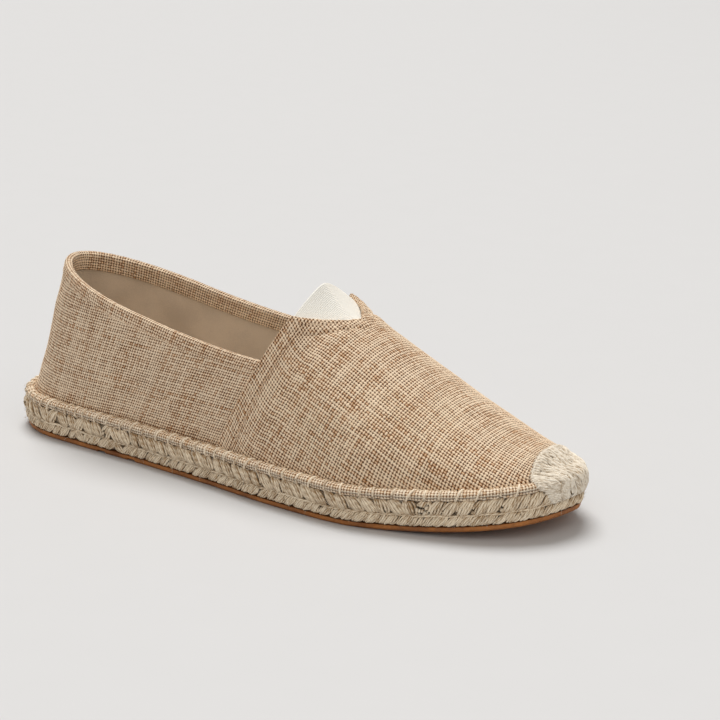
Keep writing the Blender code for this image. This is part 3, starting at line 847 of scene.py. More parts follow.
# The strands' last number sets the painted shade on their flanks
JUTE_STRAND = threads("jute_strand", JUTE_LIGHT, JUTE_DARK, 3.0, 0.9, 0.28)
JUTE_THREAD = threads("jute_thread", STITCH_LIGHT, JUTE_DARK, 4.5, 0.6)
CAP_STRAND = threads("cap_strand", CAP_LIGHT, CAP_DARK, 3.0, 0.7)
STITCH = threads("stitch_thread", BURLAP_LIGHT, BURLAP_MIDDLE, 4.5, 0.5)
# Painted shade: darker copies of the jute, for the core seen in the crevices between strands
JUTE_CORE_SHADED = jute_core("jute_core", darker(JUTE_LIGHT, 0.7), darker(JUTE_DARK, 0.6))
# Painted shade: the cap's dark jute and a darker copy, for the sheet seen between the toe cap's threads
CAP_CORE_SHADED = jute_core("cap_core_shaded", CAP_DARK, darker(CAP_DARK, 0.4))
ELASTIC = ribbed_elastic("ribbed_elastic", ELASTIC_LIGHT, ELASTIC_GROOVE_SHADE)
COTTON = cotton("cotton_lining", COTTON_LIGHT, COTTON_DARK)
RUBBER = rubber("crepe_rubber_sole", RUBBER_LIGHT, RUBBER_DARK)


def yarn_steps(low, high):
    """Lengths on and between the yarns from low to high."""
    step = YARN / POINTS_PER_YARN
    return np.arange(math.floor(low / step), math.ceil(high / step) + 1) * step


def throat_column(rows):
    """Column of the throat's edge on the lateral side at these rows; the crown's past the notch."""
    known = [CROWNS[row][1] / (math.pi / 2) * HALF_COLUMNS for row in range(SEAM_ROW, ROWS + 1)]
    return np.interp(rows, np.arange(len(known)), known)


GATHER = 0.0007
GATHER_RUN = 0.0035
HEM_BAND = 0.0064
NOTCH_BAND = 0.0052
HEM_LIFT = 0.00035
STITCH_DIP = 0.00055
STITCH_RUN = 0.0007
FOLD_RISE = 0.0004
FOLD_RUN = 0.0011
STILL_RUN = 0.006
HEM_OVER = 0.0002
TIP_FAN = 12


def notch_edge():
    """The notch's lateral edge in the vamp's cloth, from the seam to the tip: s and t."""
    rows = np.linspace(0, NOTCH_ROWS, 60)
    s = np.interp(rows, VAMP.rows, VAMP.s)
    t = [np.interp(c, VAMP.columns, VAMP.t[int(r * VAMP.FINE)]) for r, c in zip(rows, throat_column(rows))]
    t[-1] = 0.0
    return np.stack([s, t], axis=1)


def notch_distance(s, t):
    """How far places on the vamp's cloth are from the notch's edge."""
    nearest = np.full(np.broadcast(s, t).shape, 1.0)
    for spot in notch_edge()[::2]:
        nearest = np.minimum(nearest, np.hypot(s - spot[0], -np.abs(t) - spot[1]))
    return nearest


def yarn_places(cloth):
    """Lengths along and across a cloth at its yarns, and its reach across at each."""
    s = yarn_steps(0, cloth.s[-1])
    s = s[(s >= 0) & (s <= cloth.s[-1])]
    low, high = cloth.reach(s)
    return s, yarn_steps(low.min(), high.max()), low[:, None], high[:, None]


def in_yarns(s, t):
    """The same lengths counted in yarns, as a grid."""
    return np.broadcast_arrays((s / YARN)[:, None], (t / YARN)[None, :])


def touching(inside):
    """Which quads of a grid have a corner inside."""
    return inside[:-1, :-1] | inside[1:, :-1] | inside[:-1, 1:] | inside[1:, 1:]


def hem_relief(away, band):
    """Rise of a folded band along an edge, and the dip of the stitches where it ends."""
    rise = HEM_LIFT * np.clip((band - away) / YARN, 0, 1)
    return rise, STITCH_DIP * np.exp(-(((away - band) / STITCH_RUN) ** 2))


def with_fold(rows):
    """Rows with the first one twice more, for the cloth turned under the back edge."""
    return np.concatenate([rows[:1], rows[:1], rows])


def add_vamp():
    """Burlap over the forefoot, folded and sewn down along its back edge."""
    s, t, low, high = yarn_places(VAMP)
    clipped = np.clip(t, low, high)
    rows, columns = VAMP.places(s, clipped)
    edge = throat_column(rows)
    in_throat = (columns > edge) & (columns < 2 * HALF_COLUMNS - edge)
    nearest = np.where(columns < HALF_COLUMNS, edge, 2 * HALF_COLUMNS - edge)
    columns = np.where(in_throat, nearest, columns)
    inside = with_fold((t >= low) & (t <= high) & ~in_throat)
    normals = VAMP.normals(rows, columns)
    still = np.clip(s / STILL_RUN, 0, 1)[:, None] * (1 - in_throat)
    points = wander(VAMP.points(rows, columns), 71, still)
    a, b = in_yarns(s, t)
    height = weave_height(a, b, 11) + folds("vamp", s[:, None], t[None, :])
    height = height + GATHER * np.exp(-np.minimum(clipped - low, high - clipped) / GATHER_RUN)
    band, stitch = hem_relief(s, HEM_BAND)
    notch_band, notch_stitch = hem_relief(notch_distance(s[:, None], clipped), NOTCH_BAND)
    fold = FOLD_RISE * np.exp(-((s / FOLD_RUN) ** 2))
    height = height + np.maximum((band + fold)[:, None], notch_band)
    height = height - np.maximum(stitch[:, None], notch_stitch)
    outer = points + normals * height[..., None]
    rim = points[0] - normals[0] * 0.0016
    turned = points[0] - normals[0] * 0.0002 - unit(points[1] - points[0]) * 0.0004
    outer = np.concatenate([rim[None], turned[None], outer])
    uv = np.stack([np.concatenate([a[:1] - 1.15, a[:1] - 0.8, a]), with_fold(b)], axis=-1)
    throat = with_fold(in_throat)
    open_row = throat[:, np.searchsorted(t, 0.0)]
    bridges = (throat[:-1, :-1] & throat[1:, 1:]) | (throat[1:, :-1] & throat[:-1, 1:])
    bridges &= (open_row[:-1] | open_row[1:])[:, None]
    faces = quads(*inside.shape)[touching(inside) & ~bridges]
    add_piece("vamp", (outer, faces, uv), BURLAP, "burlap", "upper")


def add_quarter():
    """Burlap round the heel, from seam to seam."""
    s, t, low, high = yarn_places(QUARTER)
    rows, columns = QUARTER.places(s, np.clip(t, low, high - 0.0003))
    points = wander(QUARTER.points(rows, columns), 72, np.ones(rows.shape))
    a, b = in_yarns(s, t)
    height = weave_height(a, b, 12) + folds("quarter", s[:, None], t[None, :])
    height = height + GATHER * np.exp(-t / GATHER_RUN)[None, :]
    outer = points + QUARTER.normals(rows, columns) * height[..., None]
    inside = t <= high
    faces = quads(*inside.shape, flip=True)[touching(inside)]
    add_piece("quarter", (outer, faces, np.stack([a, b], axis=-1)), BURLAP, "burlap", "upper")


def add_lining():
    """Smooth cotton inside the quarter and the vamp."""
    depth = WALL - 0.0001
    parts = []
    for cloth, flip in ((QUARTER, False), (VAMP, True)):
        rows = np.linspace(0, len(cloth.grid) - 1, 90)[:, None]
        last = cloth.grid.shape[1] - 1
        if cloth is QUARTER:
            blocks = [np.linspace(0, last, 30)[None, :] + 0 * rows]
        else:
            edge = throat_column(rows)
            share = np.linspace(0, 1, 36)[None, :]
            blocks = [edge * share, last - edge * (1 - share)]
        for columns in blocks:
            wide = np.broadcast_to(rows, columns.shape)
            points = cloth.points(wide, columns) - cloth.normals(wide, columns) * depth
            uv = np.stack([wide * 5.0, columns * 5.0], axis=-1)
            parts.append((points, quads(*columns.shape, flip=flip), uv))
    add_piece("lining", joined(*parts), COTTON, "cotton", "upper")


def rounded(table, step):
    """Points (out, down) at equal steps on a smooth curve through a section, and their lengths."""
    section = np.stack([column(table, "out"), column(table, "down")], axis=1) * 0.001
    grid = np.stack([section, section], axis=1)
    fine = on_grid(grid, np.linspace(0, len(section) - 1, 40 * len(section)), 0.0)
    length = running_length(fine, 0)
    at = np.linspace(0, length[-1], int(round(length[-1] / step)) + 1)
    return np.stack([np.interp(at, length, fine[:, k]) for k in range(2)], axis=1), at


# Folded hem round the collar, in mm: out from the wall's outer face, and down from its top
COLLAR_SECTION = (
    ("out", "down"),
    (-0.15, 5.90),
    (-0.15, 5.50),
    (0.30, 4.90),
    (0.42, 3.50),
    (0.40, 0.60),
    (-0.10, -0.35),
    (-1.20, -0.55),
    (-2.45, -0.15),
    (-3.00, 0.90),
    (-2.95, 3.50),
    (-2.90, 7.00),
    (-2.30, 8.00),
)

# Folded hem round the notch, in the same way: it begins on the vamp beside the notch
THROAT_SECTION = (
    ("out", "down"),
    (0.20, 1.80),
    (0.50, 1.20),
    (0.62, 0.50),
    (0.35, -0.20),
    (-0.30, -0.50),
    (-1.10, -0.45),
    (-2.00, 0.10),
    (-2.35, 1.40),
    (-2.35, 3.40),
)


def add_collar_hem():
    """Burlap folded over the quarter's top edge, with its own yarns along the fold."""
    rows = np.linspace(0, len(QUARTER.grid) - 1, 400)
    columns = np.full_like(rows, QUARTER.grid.shape[1] - 1)
    edge = QUARTER.points(rows, columns)
    out = QUARTER.normals(rows, columns)
    down = unit(QUARTER.points(rows, columns - 1.0) - edge)
    length = running_length(edge, 0)
    step = YARN / POINTS_PER_YARN
    at = np.linspace(0, length[-1], int(length[-1] / step) + 1)
    edge, out, down = (
        np.stack([np.interp(at, length, v[:, k]) for k in range(3)], axis=1) for v in (edge, out, down)
    )
    shape, across = rounded(COLLAR_SECTION, step)
    base = edge[:, None] + unit(out)[:, None] * shape[None, :, :1]
    base = base + unit(down)[:, None] * shape[None, :, 1:]
    a, b = in_yarns(at, across)
    normals = unit(np.cross(np.gradient(base, axis=0), np.gradient(base, axis=1)))
    base = base - normals * weave_height(a, b, 21)[..., None]
    shape = (base, quads(*a.shape, flip=True), np.stack([a, b], axis=-1))
    add_piece("collar_hem", shape, BURLAP, "burlap", "upper")


def add_throat_hem():
    """The vamp's folded edge round the notch: yarns along the fold, rounded at the notch's tip."""
    edge = notch_edge()
    ahead = unit(np.gradient(edge, axis=0))
    away = np.stack([ahead[:, 1], -ahead[:, 0]], axis=1)
    away = np.where((away[:, 1] > 0)[:, None], -away, away)
    away[-4:] = away[-4]
    fan = np.linspace(math.atan2(away[-4][1], away[-4][0]), 0, TIP_FAN)
    edge = np.concatenate([edge, np.repeat(edge[-1:], TIP_FAN, axis=0)])
    away = np.concatenate([away, np.stack([np.cos(fan), np.sin(fan)], axis=1)])
    edge, away = (np.concatenate([half, half[-2::-1] * [1, -1]]) for half in (edge, away))
    shape, across = rounded(THROAT_SECTION, YARN / 3)
    out, down = shape.T
    reach = edge[:, None] + away[:, None] * np.clip(down, -HEM_OVER, None)[None, :, None]
    weave = edge[:, None] + away[:, None] * (across[5] - across)[None, :, None]
    length = running_length(reach[:, 3], 0)
    at = np.linspace(0, length[-1], int(length[-1] / YARN * 3) + 1)
    both = np.concatenate([reach, weave], axis=2)
    flat = np.stack([[np.interp(at, length, both[:, k, c]) for c in range(4)] for k in range(len(out))])
    s_at, t_at, a, b = flat.transpose(1, 2, 0)
    a, b = a / YARN, b / YARN
    rows, columns = VAMP.places(s_at.ravel(), t_at.reshape(-1, 1))
    rows, columns = rows.reshape(s_at.shape), columns.reshape(s_at.shape)
    fade = 0.55 + 0.45 * np.clip(np.minimum(at, at[-1] - at) / 0.004, 0, 1)
    lift = out[None, :] * fade[:, None] + folds("vamp", s_at, t_at)
    base = VAMP.points(rows, columns) + VAMP.normals(rows, columns) * lift[..., None]
    tip = away_points(base, down)
    facing = unit(np.cross(np.gradient(tip, axis=0), np.gradient(tip, axis=1)))
    tip = tip + facing * weave_height(a, b, 22)[..., None]
    shape = (tip, quads(*a.shape), np.stack([a, b], axis=-1))
    add_piece("throat_hem", shape, BURLAP, "burlap", "upper")


def away_points(base, down):
    """Lets the part of the fold past the edge stand out from it."""
    past = np.clip(-HEM_OVER - down, 0, None)
    first = int(np.argmax(down < 0.0))
    toward = unit(base[:, first] - base[:, max(first - 3, 0)])
    return base + toward[:, None] * past[None, :, None]


ROLL_CLOTH = 0.0041
THREAD_RUN = 0.0125
HEEL_STITCHES = 0.07
HEEL_PACE = 0.0052
SIDE_PACE = 0.0070
STRAY_REACH = 0.11
STRAY_CHANCE = 0.14
FLIP_LOBES = 2.4
STRAND_POINTS = 9


def stitch_places():
    """Lengths on the ring of the whip stitches over the roll: closer round the heel."""
    random = np.random.default_rng(51)
    places = []
    s = 0.002
    while s < SOLE.length - 0.003:
        places.append(s)
        pace = HEEL_PACE if min(s, SOLE.length - s) < HEEL_STITCHES else SIDE_PACE
        s += pace * random.uniform(0.8, 1.25)
    return np.array(places)


def roll_point(s, turns, swell):
    """A point round the roll, turn 0 outermost and a quarter turn on top."""
    inset = GAP + ROLL_WIDTH / 2 - swell * ROLL_CLOTH / 2 * np.cos(turns)
    height = FOOT + ROLL_HEIGHT / 2 + 0.00025 + swell * ROLL_CLOTH / 2 * np.sin(turns)
    return SOLE.at(s, inset, height)


def roll_swell(s):
    """The roll bulges between its stitches."""
    pinch = sum(np.exp(-(((s - place) / 0.0009) ** 2)) for place in stitch_places())
    lumps = waves((s / 0.0045, s / 0.0011), 33)
    return 1.05 - 0.15 * pinch + 0.05 * lumps


def add_edge_roll():
    """Burlap folded into a roll round the foot of the upper."""
    step = YARN / POINTS_PER_YARN
    s = np.linspace(0, SOLE.length, int(SOLE.length / step), endpoint=False)
    sides = 20
    turns = np.linspace(0, 2 * math.pi, sides, endpoint=False)
    a = np.broadcast_to((s / YARN)[:, None], (len(s), sides))
    b = np.broadcast_to((np.arange(sides) / POINTS_PER_YARN)[None, :], a.shape)
    swell = roll_swell(s)[:, None] + weave_height(a, b, 31) / (ROLL_CLOTH / 2)
    faces = quads(len(s), sides, closed_n=True, closed_m=True)
    shape = (roll_point(s[:, None], turns, swell), faces, np.stack([a, b], axis=-1))
    add_piece("edge_roll_cloth", shape, ROLL_BURLAP, "burlap", "edge_roll")


CAP_FIRST = ROWS - CAP_ROWS


def under_cap(s, margin):
    """Whether lengths on the ring lie under the toe cap, or less than a margin from it."""
    low = SOLE.length_at(CAP_FIRST) - margin
    high = SOLE.length_at(len(RING) - CAP_FIRST) + margin
    return (np.asarray(s) > low) & (np.asarray(s) < high)


def strand_row(base, top, pitch, count, radius, lean, bulge, seed, flips=(), skip_cap=False):
    """Slanted lobes of a few strands each, round the sole, as one row of a braid."""
    random = np.random.default_rng(seed)
    lobes = int(SOLE.length / pitch)
    spacing = SOLE.length / lobes
    share = np.linspace(0, 1, STRAND_POINTS)
    paths, radii = [], []
    for k in range(lobes):
        middle = (k + 0.5 + random.uniform(-0.12, 0.12)) * spacing
        if skip_cap and under_cap(middle, -0.0165):
            continue
        turn = 1.0
        for start, end in flips:
            inside = min(middle - start, end - middle) / (FLIP_LOBES * spacing)
            turn = 1.0 - 2.0 * min(max(inside + 0.5, 0.0), 1.0)
        if min(middle, SOLE.length - middle) < STRAY_REACH and random.uniform() < STRAY_CHANCE:
            turn = -turn
        own_lean = lean * turn * random.uniform(0.7, 1.3)
        own_bulge = bulge * random.uniform(0.85, 1.15)
        for f in range(count):
            offset = (f - (count - 1) / 2) / count
            narrow = 0.50 + 0.50 * np.sin(math.pi * share)
            s = middle + offset * spacing * 1.10 * narrow + own_lean * (share - 0.5)
            s = s + 0.0005 * np.sin(share * 3.1 + random.uniform(-0.7, 0.7)) * turn
            high = base + (top - base) * (0.5 - 0.5 * np.cos(math.pi * (share * 0.92 + 0.04)))
            hump = np.sin(math.pi * np.clip(share, 0.03, 0.97)) ** 0.6
            crown = math.sqrt(max(0.0, 1 - (2.1 * offset) ** 2))
            out = own_bulge * hump * (0.15 + 0.85 * crown) + random.uniform(-0.0002, 0.0002)
            paths.append(SOLE.at(s, 0.0013 - out, high + random.uniform(-0.0002, 0.0002)))
            closing = np.where((share == 0) | (share == 1), 0.08, 1.0)
            radii.append(radius * random.uniform(0.85, 1.15) * (0.75 + 0.35 * hump) * closing)
    return tubes(paths, np.array(radii))


FLIP_FRONT = 0.232


def flip_spans():
    """Lengths on the ring, on both sides, where the upper row's strands lean the other way."""
    x = SOLE.curve[:, 0]
    half = len(x) // 2
    lateral = np.interp(FLIP_FRONT, x[:half], SOLE.lengths[:half])
    medial = np.interp(-FLIP_FRONT, -x[half:], SOLE.lengths[half:])
    return ((lateral, medial),)


def add_jute_sole():
    """Core of the braided sole, and its two rows of strands."""
    profile = ((0.0022, 0.0), (0.0012, 0.15), (0.0018, 0.43), (0.0010, 0.60), (0.0011, 0.9), (0.0030, 1.0))
    s = np.linspace(0, SOLE.length, 320, endpoint=False)
    rows = [SOLE.at(s, inset, JUTE_BASE + JUTE_HEIGHT * share) for inset, share in profile]
    side = quads(len(rows), len(s), closed_m=True).reshape(-1, 4)
    under, over = (lid(start, len(s)) for start in (0, (len(rows) - 1) * len(s)))
    points = np.concatenate(rows)
    faces = np.concatenate([side[:, ::-1], under[:, ::-1], over])
    add_piece("jute_core", (points, faces, np.zeros((len(points), 2))), JUTE_CORE_SHADED, "jute", "jute_sole")
    lower = strand_row(
        JUTE_BASE + 0.0004, JUTE_BASE + 0.43 * JUTE_HEIGHT,
        pitch=0.0048, count=5, radius=0.00047, lean=0.0046, bulge=0.0014, seed=41,
    )
    upper = strand_row(
        JUTE_BASE + 0.45 * JUTE_HEIGHT, SOLE_TOP + 0.0003,
        pitch=0.0056, count=5, radius=0.00055, lean=-0.0042, bulge=0.0019, seed=42,
        flips=flip_spans(), skip_cap=True,
    )
    add_piece("braid_lower", lower, JUTE_STRAND, "jute", "jute_sole")
    add_piece("braid_upper", upper, JUTE_STRAND, "jute", "jute_sole")


def ring_threads(name, spans, inset, height, radius, seed):
    """Threads that run along the sole in the spans (start, end), with a slight wander."""
    random = np.random.default_rng(seed)
    share = np.linspace(0, 1, 26)
    paths = []
    for start, end in spans:
        s = start + (end - start) * share
        tuck = 0.0008 * (1 - np.sin(math.pi * share) ** 0.3)
        wander = 0.0002 * np.sin(share * 9 + random.uniform(0, 6))
        paths.append(SOLE.at(s, inset + tuck, height + wander))
    add_piece(name, tubes(paths, radius), JUTE_STRAND, "jute")


def add_sole_threads():
    """Whip stitches over the roll, the thread on top of it and the one in the groove."""
    random = np.random.default_rng(54)
    paths = []
    for s in stitch_places():
        if under_cap(s, -0.006):
            continue
        lean = random.uniform(-0.0004, 0.0022)
        turns = np.radians([-100, -70, -40, -12, 15, 40, 68, 96, 125])
        along = s + lean * np.linspace(-1, 1, len(turns))
        paths.append(roll_point(along, turns, roll_swell(along) + 0.20))
    add_piece("whip_stitches", tubes(paths, 0.00048), JUTE_THREAD, "jute")
    start, end = SOLE.length_at(CAP_FIRST), SOLE.length_at(len(RING) - CAP_FIRST)
    runs = []
    for low, high in ((0.001, start), (end, SOLE.length - 0.001)):
        cuts = np.linspace(low, high, int((high - low) / THREAD_RUN) + 1)
        runs += list(zip(cuts[:-1] + 0.0004, cuts[1:] - 0.0004))
    top = FOOT + ROLL_HEIGHT + 0.0006
    ring_threads("roll_thread", runs, GAP + ROLL_WIDTH * 0.80, top, 0.00036, 52)
    cuts = np.linspace(0.0, SOLE.length, 32)
    groove = JUTE_BASE + 0.44 * JUTE_HEIGHT
    runs = list(zip(cuts[:-1] + 0.001, cuts[1:] + 0.002))
    ring_threads("groove_thread", runs, 0.0004, groove, 0.00060, 53)


# Where the toe cap lies below the upper, as in its solid
CAP_FOOT = 0.47
CAP_SHOULDER = 0.55
CAP_INWARD = 0.42
CAP_OVER_ROLL = 1.3
CAP_FIRST_ANGLE = 0.42
CAP_PAD = (
    ("place", "thick"),
    (0.00, 0.45),
    (0.15, 0.70),
    (0.28, 0.75),
    (0.42, 1.30),
    (0.60, 1.45),
    (1.00, 1.00),
)


def cap_surface():
    """The cap's inner face: rows from its back edge to the toe, across from groove to groove."""
    grid = []
    for row in range(CAP_FIRST, ROWS + 1):
        halves = []
        for side in SIDES:
            place = place_in_ring(side, row)
            points = []
            for inset, height in (
                (-SHELL_GAP, JUTE_BASE + CAP_FOOT * JUTE_HEIGHT),
                (-SHELL_GAP, JUTE_BASE + 0.75 * JUTE_HEIGHT),
                (-SHELL_GAP, SOLE_TOP + 0.0004),
                (-SHELL_GAP * 0.4, FOOT + CAP_SHOULDER * ROLL_HEIGHT),
                (CAP_INWARD * ROLL_WIDTH, FOOT + ROLL_HEIGHT + CAP_OVER_ROLL * SHELL_GAP),
            ):
                spot = RING[place] - RING_NORMALS[place] * inset
                points.append([*spot, float(level(height, spot[0]))])
            for angle in np.linspace(CAP_FIRST_ANGLE, math.pi / 2, 7):
                points.append(front_point(side, row, angle))
            halves.append(points)
        grid.append(halves[0] + halves[1][-2::-1])
    return np.array(grid)


# How far forward the cap's back edge runs, in rows of the solid, from the groove to the crown
CAP_BACK = (
    ("place", "rows"),
    (0.00, 2.10),
    (0.18, 1.50),
    (0.36, 0.95),
    (0.48, 0.95),
    (0.62, 1.05),
    (0.80, 0.85),
    (0.92, 0.80),
    (1.00, 0.95),
)

CAP_CENTRE = np.array([0.250, 0.0015, 0.004])
CAP_THREADS = 84
CAP_CROSSINGS = 84
CAP_LOOPS = 44
CAP_THREAD = 0.00050
DOME_ANGLES = np.radians(np.arange(-112, 113, 4.0))
DOME_HEIGHTS = np.radians(np.arange(-8, 96, 4.0))
DOME_BLUR = math.radians(3.5)


def polar(points):
    """Azimuth, elevation and distance of points from the cap's centre."""
    away = points - CAP_CENTRE
    far = np.linalg.norm(away, axis=-1)
    return np.arctan2(away[..., 1], away[..., 0]), np.arcsin(away[..., 2] / far), far


class Dome:
    """The cap's outer face as a smooth distance from its centre, and its back edge and lower edge."""

    def __init__(self):
        grid = cap_surface()
        rows, columns = grid.shape[:2]
        half = (columns - 1) // 2
        u, v = np.meshgrid(np.linspace(0, rows - 1, 44), np.linspace(0, columns - 1, 90), indexing="ij")
        place = 1 - np.abs(v - half) / half
        thick = CAP_THICK * smooth(column(CAP_PAD, "place"), column(CAP_PAD, "thick"), place)
        thick = thick * (0.6 + 0.4 * np.clip(u / 2, 0, 1))
        points = on_grid(grid, u, v) + slopes(grid, u, v)[0] * thick[..., None]
        angle, height, far = (x.ravel() for x in polar(points))
        a, h = np.meshgrid(DOME_ANGLES, DOME_HEIGHTS, indexing="ij")
        turn = (a.ravel()[:, None] - angle) * np.cos(h.ravel())[:, None]
        rise = h.ravel()[:, None] - height
        near = np.exp(-(turn**2 + rise**2) / (2 * DOME_BLUR**2)) + 1e-9
        self.far = ((near * far).sum(axis=1) / near.sum(axis=1)).reshape(*a.shape, 1)
        start = smooth(column(CAP_BACK, "place"), column(CAP_BACK, "rows"), place[0])
        back = on_grid(grid, start, v[0])
        length = running_length(back, 0)
        self.share = length / length[-1]
        self.back_angle, self.back_height, _ = polar(back)
        low = on_grid(grid, u[:, 0], 0.0)
        other = on_grid(grid, u[:, 0], columns - 1.0)
        rim = np.concatenate([low[low[:, 0] > back[0, 0]], other[other[:, 0] > back[-1, 0]][::-1]])
        self.rim_angle, self.rim_height, _ = polar(rim)

    def point(self, angle, height, lift):
        step_a = DOME_ANGLES[1] - DOME_ANGLES[0]
        step_h = DOME_HEIGHTS[1] - DOME_HEIGHTS[0]
        far = on_grid(self.far, (angle - DOME_ANGLES[0]) / step_a, (height - DOME_HEIGHTS[0]) / step_h)
        flat = np.cos(height)
        way = np.stack([flat * np.cos(angle), flat * np.sin(angle), np.sin(height)], axis=-1)
        return CAP_CENTRE + way * (far + np.asarray(lift)[..., None])

    def back(self, share):
        """Angle and height of the back edge at a share of its length."""
        return [np.interp(share, self.share, known) for known in (self.back_angle, self.back_height)]

    def path(self, share, t):
        """A thread's way from the back edge, first forward and then down to the lower edge."""
        angle, height = self.back(share)
        ends = self.rim_angle[[0, -1]]
        centre = 0.09
        reach = abs(2 * share - 1) ** 0.85
        end = centre + (ends[0 if share < 0.5 else 1] - centre) * reach
        low = np.interp(end, self.rim_angle, self.rim_height)
        return angle + (end - angle) * (1 - (1 - t) ** 1.7), height + (low - height) * t**1.2


def add_toe_cap():
    """Jute threads fanned over the toe from a stitched back edge down to the groove."""
    dome = Dome()
    t = np.linspace(0, 1, 30)
    base = []
    for share in np.linspace(0.0, 1.0, 90):
        angle, height = dome.path(share, t)
        base.append(dome.point(angle, height, np.full(len(t), -0.0010)))
    base = np.array(base).transpose(1, 0, 2)
    shape = (base, quads(*base.shape[:2], flip=True), np.zeros((*base.shape[:2], 2)))
    # The sheet under the threads carries painted shade
    add_piece("toe_cap_core", shape, CAP_CORE_SHADED, "jute", "toe_cap")

    random = np.random.default_rng(61)
    t = np.linspace(0, 1, 26)
    paths = []
    for k in range(CAP_THREADS):
        share = (k + 0.5 + random.uniform(-0.3, 0.3)) / CAP_THREADS
        angle, height = dome.path(share, t * (1.0 if k % 2 else random.uniform(0.45, 0.65)))
        lift = random.uniform(-0.00062, -0.00034) + 0.00010 * np.sin(t * random.uniform(6, 12) + k)
        for dip in random.uniform(0.15, 0.95, 2):
            lift = lift - 0.0008 * np.exp(-(((t - dip) / 0.04) ** 2))
        lift = lift - 0.0008 * np.clip((t - 0.92) / 0.08, 0, 1)
        angle = angle + 0.012 * np.sin(t * 9 + random.uniform(0, 6)) * np.sin(math.pi * t)
        paths.append(dome.point(angle, height, lift))
    for _ in range(CAP_CROSSINGS):
        share = random.uniform(0.03, 0.97)
        first = random.uniform(0.0, 0.72)
        span = first + random.uniform(0.14, 0.28) * t
        angle, height = dome.path(share, np.clip(span, 0, 1))
        hump = np.sin(math.pi * t) ** 0.5
        slant = random.uniform(-0.16, 0.16) * (t - 0.5)
        paths.append(dome.point(angle + slant, height, -0.0009 + hump * random.uniform(0.0006, 0.0008)))
    add_piece("toe_cap_threads", tubes(paths, CAP_THREAD), CAP_STRAND, "jute", "toe_cap")

    shares = np.linspace(0.0, 1.0, 130)
    angle, height = dome.back(shares)
    cord = [dome.point(angle, height, 0.0001 * np.sin(shares * 160) - 0.0008)]
    add_piece("toe_cap_edge", tubes(cord, 0.00055), CAP_STRAND, "jute", "toe_cap")
    loops = []
    t = np.linspace(-1, 1, 9)
    for k in range(CAP_LOOPS):
        share = (k + 0.5 + random.uniform(-0.2, 0.2)) / CAP_LOOPS
        angle, height = dome.back(np.clip(share + 0.011 * t, 0, 1))
        further = dome.path(share, np.array([0.0, 0.05]))
        way = np.array([further[0][1] - further[0][0], further[1][1] - further[1][0]])
        way = way / max(np.hypot(way[0] * math.cos(height[4]), way[1]), 1e-6)
        ahead = t * 0.042 + 0.014
        lift = 0.00060 * np.sqrt(np.clip(1 - t**2, 0, 1)) - 0.0009 - 0.0004 * np.clip(-t, 0, 1)
        loops.append(dome.point(angle + way[0] * ahead, height + way[1] * ahead, lift))
    add_piece("toe_cap_stitches", tubes(loops, 0.00044), CAP_STRAND, "jute", "toe_cap")


def gore_point(side, row, start, share):
    """Under the vamp the gore follows its arc; in the notch it rises to a soft peak."""
    end = CROWNS[row][1]
    tucked = 0.25 if row < NOTCH_ROW else 1.0
    if share <= tucked:
        return front_point(side, row, start + (end - start) * share / tucked)
    edge = front_point(side, row, end)
    across = 1 - (share - tucked) / (1 - tucked)
    rise = 1 - (math.hypot(across, GORE_PEAK) - GORE_PEAK) / (math.hypot(1, GORE_PEAK) - GORE_PEAK)
    left = (1 - (row - SEAM_ROW) / NOTCH_ROWS) ** GORE_FADE
    x = edge[0] + GORE_LEAN * rise * left
    y = edge[1] * across + GORE_SHIFT * (1 - across**2) * left
    return np.array([x, y, edge[2] + GORE_RISE * rise * left])


RIB_PITCH = 0.0007
RIB_RISE = 0.00006
GORE_SWELL = 0.0012


def add_gore():
    """Off-white ribbed elastic that fills the notch."""
    rows = range(SEAM_ROW, NOTCH_ROW + 3)
    places = 12
    grid = []
    for row in rows:
        crown, end = CROWNS[row][:2]
        spread = 1.4 if row > NOTCH_ROW else 1.0
        start = end - spread * GORE_TUCK / (crown[2] - FOOT) * math.pi / 2
        halves = [[gore_point(side, row, start, k / places) for k in range(places + 1)] for side in SIDES]
        grid.append(halves[0] + halves[1][-2::-1])
    grid = np.array(grid)
    n, m = 110, 90
    u, v = np.meshgrid(np.linspace(0, len(grid) - 1, n), np.linspace(0, 2 * places, m), indexing="ij")
    normal, ahead = slopes(grid, u, v)
    points = on_grid(grid, u, v)
    across = running_length(points, 1) / RIB_PITCH
    along = running_length(points, 0) / RIB_PITCH
    rib = RIB_RISE * np.cos(2 * math.pi * along)
    far_edge = np.clip((v - 14) / 6, 0, 1) * np.clip((22.5 - v) / 1.5, 0, 1)
    far_edge = far_edge * np.clip((5.8 - u) / 0.8, 0, 1)
    depth = WALL + SHELL_GAP - GORE_SWELL * far_edge
    top = points - normal * (depth - rib)[..., None]
    low = points - normal * (depth + GORE_THICK)[..., None]
    uv = np.stack([along, across], axis=-1)
    rim = (top[0] + low[0]) / 2 - ahead[0] * 0.0004
    stack = np.concatenate([low[::-1], rim[None], top])
    uv = np.concatenate([uv[::-1], uv[:1], uv])
    add_piece("elastic_webbing", (stack, quads(len(stack), m), uv), ELASTIC, "elastic", "elastic_gore")


